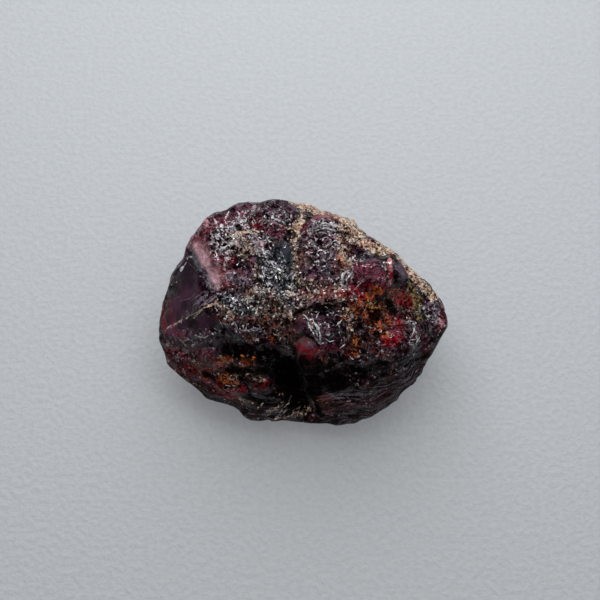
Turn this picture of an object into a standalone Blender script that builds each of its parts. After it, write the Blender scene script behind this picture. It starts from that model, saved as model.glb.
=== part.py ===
"""Rough garnet crystal: one worn, broken almandine crystal lying on its flat parting face.

The habit is cut from a block by the crystal's own faces and breaks, each given by the direction it
looks in and its distance from the block's centre. Knobs are joined on, hollows are taken out, and
the whole is remeshed, worn and roughened. The smooth breaks and the parting face are cut last.
Metres, +Z up. The origin is the bottom centre of the finished crystal's box.
"""

import math
from collections import namedtuple

import bmesh
import bpy
from mathutils import Euler, Matrix, Vector

MM = 0.001

BLOCK_SIZE = 60 * MM
REST_DEPTH = 9.6 * MM  # the parting face that the crystal lies on, below the block's centre

SKIN_CELL = 0.45 * MM
WEAR_PASSES = 5
WEAR_STRENGTH = 0.5
SWELL_SIZE = 4.0 * MM
SWELL_HEIGHT = 1.5 * MM
SWELL_OCTAVES = 3
CHIP_SIZE = 2.6 * MM
CHIP_DEPTH = 0.5 * MM
TRIANGLES = 8600

SURFACE_COLOUR = (0.060, 0.012, 0.016, 1.0)
SURFACE_ROUGHNESS = 0.35

# Directions are in degrees, the azimuth from +X towards +Y and the elevation above the horizon.
Face = namedtuple("Face", "name azimuth elevation distance")
FACES = (
    # the girdle, anticlockwise from the point
    Face("point_upper", 23, 10, 15.1 * MM),
    Face("back_right_long", 48, 19, 11.4 * MM),
    Face("back_right", 68, 23, 11.5 * MM),
    Face("back", 96, 25, 13.2 * MM),
    Face("back_left", 114, 23, 14.2 * MM),
    Face("left_back", 131, 19, 15.2 * MM),
    Face("left_shoulder", 152, 12, 15.4 * MM),
    Face("left_end", 180, 0, 17.1 * MM),
    Face("left_front", -152, -12, 17.2 * MM),
    Face("front_left_corner", -135, -18, 16.3 * MM),
    Face("front_left", -114, -23, 14.4 * MM),
    Face("front", -90, -25, 13.4 * MM),
    Face("front_right", -66, -23, 14.8 * MM),
    Face("right_front", -42, -17, 16.2 * MM),
    Face("point_lower", -20, -9, 15.8 * MM),
    # the crown
    Face("crown", -85, 78, 9.6 * MM),
    Face("crown_right", -4, 63, 10.8 * MM),
    Face("crown_left", -156, 67, 10.0 * MM),
    Face("crown_back", 90, 62, 10.4 * MM),
    # the steep front flank, in a terrace, a flank and a foot
    Face("terrace", -86, 50, 9.3 * MM),
    Face("flank_left", -115, 20, 10.6 * MM),
    Face("flank_middle", -90, 25, 9.8 * MM),
    Face("flank_right", -62, 22, 11.7 * MM),
    Face("foot_left", -126, -4, 14.6 * MM),
    Face("foot_middle", -92, 2, 11.3 * MM),
    Face("foot_right", -52, -3, 14.4 * MM),
    # the underside, between the girdle and the parting face
    Face("under_front", -90, -55, 12.5 * MM),
    Face("under_right", -20, -48, 13.8 * MM),
    Face("under_back_right", 45, -40, 13.0 * MM),
    Face("under_back", 95, -35, 13.6 * MM),
    Face("under_left", 170, -45, 14.2 * MM),
    Face("under_front_left", -140, -48, 13.6 * MM),
)
SMOOTH_BREAKS = (
    Face("upper_window", -172, 36, 13.0 * MM),
    Face("lower_window", -135, 29, 11.6 * MM),
)
PARTING_FACE = Face("parting_face", 0, -90, REST_DEPTH)

# Ellipsoids in the block's own axes: a centre and three half-lengths.
Lump = namedtuple("Lump", "name centre radii")
KNOBS = (
    Lump("rippled_knob", (3.0 * MM, 5.7 * MM, 7.4 * MM), (3.5 * MM, 3.0 * MM, 2.9 * MM)),
    Lump("plum_knob", (7.6 * MM, 0.4 * MM, 7.2 * MM), (4.4 * MM, 2.8 * MM, 2.9 * MM)),
    Lump("middle_knob", (1.9 * MM, -6.4 * MM, 7.2 * MM), (3.7 * MM, 2.3 * MM, 2.6 * MM)),
    Lump("cherry_nodule", (0.6 * MM, -9.0 * MM, 5.8 * MM), (1.9 * MM, 1.8 * MM, 1.9 * MM)),
    Lump("ledge_knob", (9.6 * MM, -6.6 * MM, 5.6 * MM), (3.4 * MM, 2.2 * MM, 2.3 * MM)),
    Lump("pink_shoulder", (-9.2 * MM, 4.2 * MM, 6.6 * MM), (3.0 * MM, 3.4 * MM, 2.4 * MM)),
    Lump("back_knob", (-3.4 * MM, 8.0 * MM, 6.2 * MM), (3.8 * MM, 3.0 * MM, 2.8 * MM)),
)
HOLLOWS = (
    Lump("dark_hollow", (-1.6 * MM, -12.6 * MM, 2.2 * MM), (3.4 * MM, 4.4 * MM, 3.6 * MM)),
    Lump("hollow_foot", (-0.2 * MM, -13.2 * MM, -3.2 * MM), (2.6 * MM, 3.2 * MM, 4.4 * MM)),
    Lump("left_hollow", (-7.0 * MM, -10.6 * MM, 5.6 * MM), (4.4 * MM, 2.8 * MM, 2.2 * MM)),
    Lump("left_pit", (-10.6 * MM, -11.4 * MM, 1.0 * MM), (2.4 * MM, 2.2 * MM, 2.0 * MM)),
    Lump("crown_trough", (-2.4 * MM, 2.4 * MM, 11.8 * MM), (2.2 * MM, 5.4 * MM, 2.6 * MM)),
    Lump("terrace_step", (1.8 * MM, -3.9 * MM, 10.2 * MM), (5.6 * MM, 0.9 * MM, 2.4 * MM)),
    Lump("ledge_undercut", (8.4 * MM, -10.8 * MM, 3.0 * MM), (6.8 * MM, 2.9 * MM, 1.5 * MM)),
    Lump("back_notch", (9.9 * MM, 8.6 * MM, 4.8 * MM), (2.4 * MM, 2.2 * MM, 2.8 * MM)),
)


def direction(azimuth, elevation):
    """The unit vector that looks along an azimuth and an elevation in degrees."""
    around, up = math.radians(azimuth), math.radians(elevation)
    return Vector((math.cos(around) * math.cos(up), math.sin(around) * math.cos(up), math.sin(up)))


def clear_scene():
    for obj in list(bpy.data.objects):
        bpy.data.objects.remove(obj)


def new_collection(name):
    collection = bpy.data.collections.new(name)
    bpy.context.scene.collection.children.link(collection)
    return collection


def add_object(name, shape, collection):
    """A mesh object from a bmesh, put in a collection."""
    mesh = bpy.data.meshes.new(name)
    shape.to_mesh(mesh)
    shape.free()
    obj = bpy.data.objects.new(name, mesh)
    collection.objects.link(obj)
    return obj


def mark_as_helper(obj):
    obj.hide_render = True
    obj.display_type = "WIRE"


def cut_off(shape, face):
    """Takes away what lies beyond a face's plane and closes the cut with one flat polygon."""
    normal = direction(face.azimuth, face.elevation)
    geometry = shape.verts[:] + shape.edges[:] + shape.faces[:]
    cut = bmesh.ops.bisect_plane(
        shape,
        geom=geometry,
        plane_co=normal * face.distance,
        plane_no=normal,
        clear_outer=True,
        dist=1e-7,
    )
    rim = [item for item in cut["geom_cut"] if isinstance(item, bmesh.types.BMEdge)]
    if rim:
        bmesh.ops.holes_fill(shape, edges=rim, sides=0)


def cut_block(collection):
    """The block cut by every face of the crystal."""
    shape = bmesh.new()
    bmesh.ops.create_cube(shape, size=BLOCK_SIZE)
    for face in FACES:
        cut_off(shape, face)
    bmesh.ops.recalc_face_normals(shape, faces=shape.faces[:])
    block = add_object("rough_block", shape, collection)
    mark_as_helper(block)
    return block


def add_lumps(lumps, collection):
    """One closed ellipsoid for each lump, hidden because it only joins or cuts the block."""
    for lump in lumps:
        shape = bmesh.new()
        placed = Matrix.LocRotScale(lump.centre, Euler(), lump.radii)
        bmesh.ops.create_uvsphere(shape, u_segments=24, v_segments=12, radius=1.0, matrix=placed)
        mark_as_helper(add_object(lump.name, shape, collection))


def join_or_cut(block, collection, operation):
    modifier = block.modifiers.new(collection.name, "BOOLEAN")
    modifier.operation = operation
    modifier.operand_type = "COLLECTION"
    modifier.collection = collection
    modifier.solver = "EXACT"


def remesh_skin(block):
    """Even cells all over, then a light wear that rounds every edge."""
    skin = block.modifiers.new("even_skin", "REMESH")
    skin.mode = "VOXEL"
    skin.voxel_size = SKIN_CELL
    wear = block.modifiers.new("wear", "SMOOTH")
    wear.factor = WEAR_STRENGTH
    wear.iterations = WEAR_PASSES


def roughen(block, name, texture_kind, size, height):
    """Moves the skin in and out by a solid texture of one grain size."""
    texture = bpy.data.textures.new(name, texture_kind)
    texture.noise_scale = size
    rough = block.modifiers.new(name, "DISPLACE")
    rough.texture = texture
    rough.texture_coords = "LOCAL"
    rough.strength = height
    rough.mid_level = 0.5
    return texture


def thin_out(block):
    """Keeps more triangles where the skin bends and fewer where it is flat."""
    cells = len(evaluated_mesh(block).polygons)
    fewer = block.modifiers.new("fewer_triangles", "DECIMATE")
    fewer.ratio = min(1.0, TRIANGLES / (2 * cells))
    fewer.use_collapse_triangulate = True


def evaluated_mesh(obj):
    graph = bpy.context.evaluated_depsgraph_get()
    return obj.evaluated_get(graph).to_mesh()


def finish_shape(block):
    """The worn shape as one closed mesh, with its flat breaks cut, moved over the origin."""
    shape = bmesh.new()
    shape.from_mesh(evaluated_mesh(block))
    for face in SMOOTH_BREAKS + (PARTING_FACE,):
        cut_off(shape, face)
    bmesh.ops.triangulate(shape, faces=shape.faces[:])
    low = Vector(min(vertex.co[axis] for vertex in shape.verts) for axis in range(3))
    high = Vector(max(vertex.co[axis] for vertex in shape.verts) for axis in range(3))
    base = Vector(((low.x + high.x) / 2, (low.y + high.y) / 2, low.z))
    bmesh.ops.translate(shape, verts=shape.verts[:], vec=-base)
    bmesh.ops.recalc_face_normals(shape, faces=shape.faces[:])
    return shape


def garnet_material():
    """Dark plum garnet with a dull glassy skin."""
    material = bpy.data.materials.new("garnet_skin")
    material.use_nodes = True
    surface = material.node_tree.nodes["Principled BSDF"]
    surface.inputs["Base Color"].default_value = SURFACE_COLOUR
    surface.inputs["Roughness"].default_value = SURFACE_ROUGHNESS
    surface.inputs["Metallic"].default_value = 0.0
    return material


def main():
    clear_scene()
    crystal = new_collection("garnet_crystal")
    shaping = new_collection("shaping")
    knobs = new_collection("knobs")
    hollows = new_collection("hollows")
    add_lumps(KNOBS, knobs)
    add_lumps(HOLLOWS, hollows)
    block = cut_block(shaping)
    join_or_cut(block, knobs, "UNION")
    join_or_cut(block, hollows, "DIFFERENCE")
    remesh_skin(block)
    swells = roughen(block, "swells", "CLOUDS", SWELL_SIZE, SWELL_HEIGHT)
    swells.noise_depth = SWELL_OCTAVES
    roughen(block, "chips", "VORONOI", CHIP_SIZE, CHIP_DEPTH)
    thin_out(block)
    garnet = add_object("garnet_crystal", finish_shape(block), crystal)
    garnet.data.materials.append(garnet_material())
    for collection in (shaping, knobs, hollows):
        collection.hide_render = True


if __name__ == "__main__":
    main()
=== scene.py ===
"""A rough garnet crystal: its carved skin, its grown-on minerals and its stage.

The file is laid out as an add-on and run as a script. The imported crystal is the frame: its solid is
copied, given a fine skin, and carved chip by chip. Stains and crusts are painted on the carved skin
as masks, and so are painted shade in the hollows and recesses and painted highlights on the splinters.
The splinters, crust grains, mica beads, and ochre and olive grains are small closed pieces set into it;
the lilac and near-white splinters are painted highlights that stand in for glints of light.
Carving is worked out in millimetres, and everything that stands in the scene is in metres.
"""

import itertools
import math
from collections import namedtuple

import bmesh
import bpy
import numpy as np
from bpy.props import FloatProperty, FloatVectorProperty, IntProperty, PointerProperty
from mathutils import Matrix, Vector
from mathutils.bvhtree import BVHTree


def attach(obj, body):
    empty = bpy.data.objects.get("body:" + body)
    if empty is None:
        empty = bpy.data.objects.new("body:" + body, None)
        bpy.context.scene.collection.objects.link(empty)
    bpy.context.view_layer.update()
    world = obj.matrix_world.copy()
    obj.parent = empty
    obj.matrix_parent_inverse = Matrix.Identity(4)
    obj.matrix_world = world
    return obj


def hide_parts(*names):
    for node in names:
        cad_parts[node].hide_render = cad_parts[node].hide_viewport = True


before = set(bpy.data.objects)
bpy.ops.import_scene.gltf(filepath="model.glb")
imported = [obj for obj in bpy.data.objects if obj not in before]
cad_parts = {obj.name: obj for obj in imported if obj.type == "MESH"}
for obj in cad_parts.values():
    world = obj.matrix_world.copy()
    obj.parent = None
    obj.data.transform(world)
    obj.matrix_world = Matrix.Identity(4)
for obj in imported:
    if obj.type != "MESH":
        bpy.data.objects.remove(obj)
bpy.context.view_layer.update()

bl_info = {
    "name": "Rough garnet crystal",
    "version": (1, 0, 0),
    "blender": (4, 5, 0),
    "location": "View3D > Sidebar > Garnet",
    "description": "Carves, colours and lights a rough garnet crystal",
    "category": "Object",
}

MM = 0.001
NODE = "garnet_crystal"

# The girdle's middle, in millimetres: the crystal's faces and marks are measured from here.
HEART = np.array((0.062, -1.463, 9.6))

# The picture is this many units across and down. Marks are placed in these units.
PICTURE = 600
HEART_IN_PICTURE = (303.5, 309.5)


def srgb(red, green, blue):
    """A colour in the shader's linear values, from the usual 0 to 255 ones."""
    return tuple(
        value / 12.92 if value <= 0.04045 else ((value + 0.055) / 1.055) ** 2.4
        for value in (red / 255, green / 255, blue / 255)
    )


# ---------------------------------------------------------------- settings


def colour_setting(name, description, red, green, blue):
    """A colour that the user can change, from the usual 0 to 255 values."""
    default = srgb(red, green, blue)
    return FloatVectorProperty(name=name, description=description, subtype="COLOR", default=default)


class GarnetCarving(bpy.types.PropertyGroup):
    """How finely and how deeply the skin is carved."""

    skin_cell: FloatProperty(
        name="Skin cell",
        description="Size of the skin's cells",
        default=0.17 * MM,
        min=0.1 * MM,
        precision=5,
        unit="LENGTH",
    )
    wear_passes: IntProperty(
        name="Wear passes",
        description="Smoothing passes that take off the solid's own facets",
        default=7,
        min=0,
    )
    swell: FloatProperty(
        name="Swell",
        description="Height of the broad lumps",
        default=0.09 * MM,
        precision=5,
        unit="LENGTH",
    )
    chip_size: FloatProperty(
        name="Chip size",
        description="Width of the broken skin's chips",
        default=1.7 * MM,
        precision=5,
        unit="LENGTH",
    )
    chip_tilt: FloatProperty(
        name="Chip tilt",
        description="How steeply the chips lean, as a slope",
        default=0.08,
        min=0.0,
        max=1.0,
    )
    layer_step: FloatProperty(
        name="Layer step",
        description="Distance between the thin layers around the crystal's foot",
        default=0.85 * MM,
        precision=5,
        unit="LENGTH",
    )


class GarnetColours(bpy.types.PropertyGroup):
    """The minerals' own colours."""

    # black: deep garnet, also used for the painted shade in the recesses
    black: colour_setting("Black", "Deep garnet", 9, 3, 5)
    plum: colour_setting("Plum", "Garnet's body", 88, 54, 70)
    wine: colour_setting("Wine", "Redder garnet", 110, 42, 58)
    crimson: colour_setting("Crimson", "Thin, lit garnet", 124, 20, 34)
    cherry: colour_setting("Cherry", "Garnet lit from within", 114, 12, 22)
    rose: colour_setting("Rose", "Frosted garnet", 188, 144, 152)
    slate: colour_setting("Slate", "Mica", 54, 57, 64)
    silver: colour_setting("Silver", "Mica's flakes", 158, 164, 168)
    # lilac: the pale of splintered edges, and the colour of the painted glints of light
    lilac: colour_setting("Lilac", "Splintered edges", 226, 218, 222)
    tan: colour_setting("Tan", "Crust", 240, 218, 198)
    umber: colour_setting("Umber", "Stained garnet", 106, 64, 52)
    ochre: colour_setting("Ochre", "Iron stain", 210, 124, 48)
    rust: colour_setting("Rust", "Old iron stain", 166, 74, 38)
    olive: colour_setting("Olive", "Yellow-green film", 146, 126, 74)


class GarnetStage(bpy.types.PropertyGroup):
    """The camera, the floor and the light."""

    camera_height: FloatProperty(
        name="Camera height",
        description="Angle of the camera above the floor",
        default=math.radians(65),
        subtype="ANGLE",
    )
    field: FloatProperty(
        name="Field of view",
        description="Angle that the picture spans",
        default=math.radians(27),
        subtype="ANGLE",
    )
    span: FloatProperty(
        name="Picture span",
        description="Width of what the picture shows at the crystal",
        default=70.84 * MM,
        precision=5,
        unit="LENGTH",
    )
    window_radiance: FloatProperty(
        name="Window light", description="Radiance of the window", default=60.0, min=0.0
    )
    sheen_radiance: FloatProperty(
        name="Sheen light", description="Radiance of the pale sky in the window", default=3.0, min=0.0
    )
    fill_radiance: FloatProperty(
        name="Soft light", description="Radiance of the soft boxes", default=1.25, min=0.0
    )
    room_light: FloatProperty(
        name="Room light", description="Strength of the light from all round", default=0.22, min=0.0
    )
    floor_colour: colour_setting("Floor", "The floor's colour", 200, 203, 206)


# ---------------------------------------------------------------- noise


def hashed(cells, salt):
    """A number from 0 to 1 for each whole-number cell of space."""
    mixed = cells * np.array((73856093, 19349663, 83492791), dtype=np.int64)
    key = (mixed[..., 0] ^ mixed[..., 1] ^ mixed[..., 2] ^ (salt * 40503)) & 0xFFFFFFFF
    for shift in (16, 15):
        key = ((key ^ (key >> shift)) * 0x45D9F3B) & 0xFFFFFFFF
    return ((key ^ (key >> 16)) & 0xFFFFFF) / 0xFFFFFF


def soft_noise(points, size, salt):
    """Smooth lumps of one size, from -1 to 1."""
    scaled = points / size
    base = np.floor(scaled)
    along = scaled - base
    along = along * along * (3 - 2 * along)
    base = base.astype(np.int64)
    total = np.zeros(len(points))
    for corner in itertools.product((0, 1), repeat=3):
        weight = np.prod(np.where(corner, along, 1 - along), axis=1)
        total += weight * hashed(base + np.array(corner), salt)
    return total * 2 - 1


TURN = np.array(Matrix.Rotation(0.9, 3, Vector((0.5, 0.7, 0.3))))


def rough_noise(points, size, octaves, salt):
    """Lumps on lumps, each layer half the size and turned, from about -1 to 1."""
    total, height, turned = np.zeros(len(points)), 1.0, points
    for octave in range(octaves):
        total += height * soft_noise(turned, size * 0.5**octave, salt + octave)
        height *= 0.5
        turned = turned @ TURN
    return total / 1.5


Cells = namedtuple("Cells", "gap random wall")


def cells_of(points, size, salt):
    """Each point's nearest cell: the way from its middle, its three random numbers, its wall's distance."""
    base = np.floor(points / size).astype(np.int64)
    count = len(points)
    nearest, second = np.full(count, np.inf), np.full(count, np.inf)
    gap, home = np.zeros((count, 3)), np.zeros((count, 3), dtype=np.int64)
    for step in itertools.product((-1, 0, 1), repeat=3):
        cell = base + np.array(step)
        jitter = np.stack([hashed(cell, salt + axis) for axis in range(3)], axis=1)
        away = points - (cell + jitter) * size
        distance = np.sqrt((away**2).sum(axis=1))
        closer = distance < nearest
        second = np.where(closer, nearest, np.minimum(second, distance))
        nearest = np.where(closer, distance, nearest)
        gap[closer], home[closer] = away[closer], cell[closer]
    random = np.stack([hashed(home, salt + 10 + axis) for axis in range(3)], axis=1)
    return Cells(gap, random, second - nearest)


def smooth_step(low, high, values):
    along = np.clip((values - low) / (high - low), 0, 1)
    return along * along * (3 - 2 * along)


# ---------------------------------------------------------------- the camera's rays


def camera_axes(stage):
    """The camera's right, up and back, from its height above the floor."""
    sine, cosine = math.sin(stage.camera_height), math.cos(stage.camera_height)
    return Vector((1, 0, 0)), Vector((0, sine, cosine)), Vector((0, -cosine, sine))


def camera_place(stage):
    """Where the camera stands, and the point that it looks at, in metres."""
    right, up, back = camera_axes(stage)
    unit = stage.span / PICTURE
    across = (PICTURE / 2 - HEART_IN_PICTURE[0]) * unit
    raised = (HEART_IN_PICTURE[1] - PICTURE / 2) * unit
    aim = Vector(HEART) * MM + right * across + up * raised
    distance = stage.span / 2 / math.tan(stage.field / 2)
    return aim + back * distance, aim


def ray_through(stage, across, down):
    """The camera's position and its direction through a place in the picture, in metres."""
    right, up, _ = camera_axes(stage)
    camera, aim = camera_place(stage)
    unit = stage.span / PICTURE
    target = aim + right * (across - PICTURE / 2) * unit + up * (PICTURE / 2 - down) * unit
    return camera, (target - camera).normalized()


# How far before and behind the heart a mark that misses the skin is brought back to it, in mm.
SEARCH_REACH = 16


class Surface:
    """The carved skin as the camera sees it, for putting marks on it."""

    def __init__(self, stage, points, faces):
        self.stage = stage
        self.tree = BVHTree.FromPolygons([Vector(p) * MM for p in points], faces)

    def spot(self, across, down):
        """The point of the skin that shows at a place in the picture, in mm, and the skin's normal there."""
        camera, direction = ray_through(self.stage, across, down)
        hit, normal = self.tree.ray_cast(camera, direction)[:2]
        if hit is None:
            middle = (Vector(HEART) * MM - camera).length
            steps = range(-SEARCH_REACH, SEARCH_REACH + 1)
            along = [camera + direction * (middle + step * MM) for step in steps]
            found = [self.tree.find_nearest(place) for place in along]
            hit, normal = min(found, key=lambda near: near[3])[:2]
        return np.array(hit) / MM, np.array(normal)

    def place(self, across, down):
        return self.spot(across, down)[0]

    def nearest(self, point):
        hit, normal = self.tree.find_nearest(Vector(point) * MM)[:2]
        return np.array(hit) / MM, np.array(normal)


def distance_to_path(points, path):
    """How far each point is from a path of straight stretches."""
    path = np.array(path)
    if len(path) == 1:
        return np.linalg.norm(points - path[0], axis=1)
    best = np.full(len(points), np.inf)
    for start, end in zip(path[:-1], path[1:]):
        run = end - start
        along = np.clip((points - start) @ run / (run @ run), 0, 1)
        best = np.minimum(best, np.linalg.norm(points - start - along[:, None] * run, axis=1))
    return best


# ---------------------------------------------------------------- marks on the skin

# A carved mark: its path in the picture, its half width and its height (negative is cut in), in mm.
Carved = namedtuple("Carved", "name path width height")
CARVINGS = (
    Carved("crevice", ((294, 314), (304, 309), (318, 305), (332, 304), (346, 305)), 0.25, -0.6),
    Carved("lip", ((296, 308), (312, 300), (330, 297), (348, 298)), 0.8, 0.35),
    Carved("middle_knob", ((308, 328), (324, 326)), 1.6, 0.5),
    Carved("cherry_nodule", ((306, 349),), 1.15, 1.0),
    Carved("nodule_gap", ((296, 339), (304, 335), (312, 338), (318, 346)), 0.28, -0.3),
    Carved("plum_knob", ((362, 272), (378, 278)), 1.9, 0.45),
    Carved("under_the_knob", ((322, 357), (345, 352), (362, 354)), 0.6, -0.6),
    Carved("black_hollow", ((283, 362), (292, 380), (300, 398)), 2.2, -0.9),
    Carved("left_slot", ((222, 346), (245, 349), (268, 352)), 0.8, -0.6),
    Carved("left_pocket", ((236, 372), (248, 374)), 0.8, -0.5),
    Carved("left_ledge", ((166, 334), (184, 336), (204, 334), (222, 334)), 0.45, 0.2),
    Carved("left_step", ((170, 350), (190, 352), (214, 348)), 0.6, -0.3),
    Carved("crescent", ((219, 383), (230, 391), (244, 390)), 0.7, 0.4),
    Carved("rippled_knob", ((326, 232), (334, 238)), 1.3, 0.15),
    Carved("knob_gap", ((312, 216), (313, 232), (320, 246)), 0.4, -0.4),
    Carved("plum_knob_gap", ((346, 262), (352, 284), (366, 298)), 0.45, -0.35),
    Carved("right_shelf", ((362, 330), (384, 322), (404, 318)), 0.6, -0.4),
    Carved("amber_slot", ((366, 286), (376, 302)), 0.5, -0.4),
    Carved("cube_knob", ((388, 338), (398, 330)), 0.9, 0.25),
    Carved("crest", ((314, 205), (324, 207), (334, 210), (344, 215)), 1.1, 0.05),
    Carved("crest_end", ((348, 216), (356, 221), (366, 228)), 1.1, -0.4),
    Carved("point_shoulder", ((440, 292), (446, 299), (449, 306)), 1.9, -0.5),
    Carved("flank_cut", ((422, 381), (412, 392)), 1.5, -0.6),
    Carved("crown_edge", ((276, 198), (287, 198)), 1.0, -0.3),
    Carved("mica_dip", ((286, 240), (282, 262), (286, 288)), 1.2, -0.3),
    Carved("rose_step", ((193, 246), (206, 268), (218, 292)), 0.4, 0.15),
)
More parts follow.
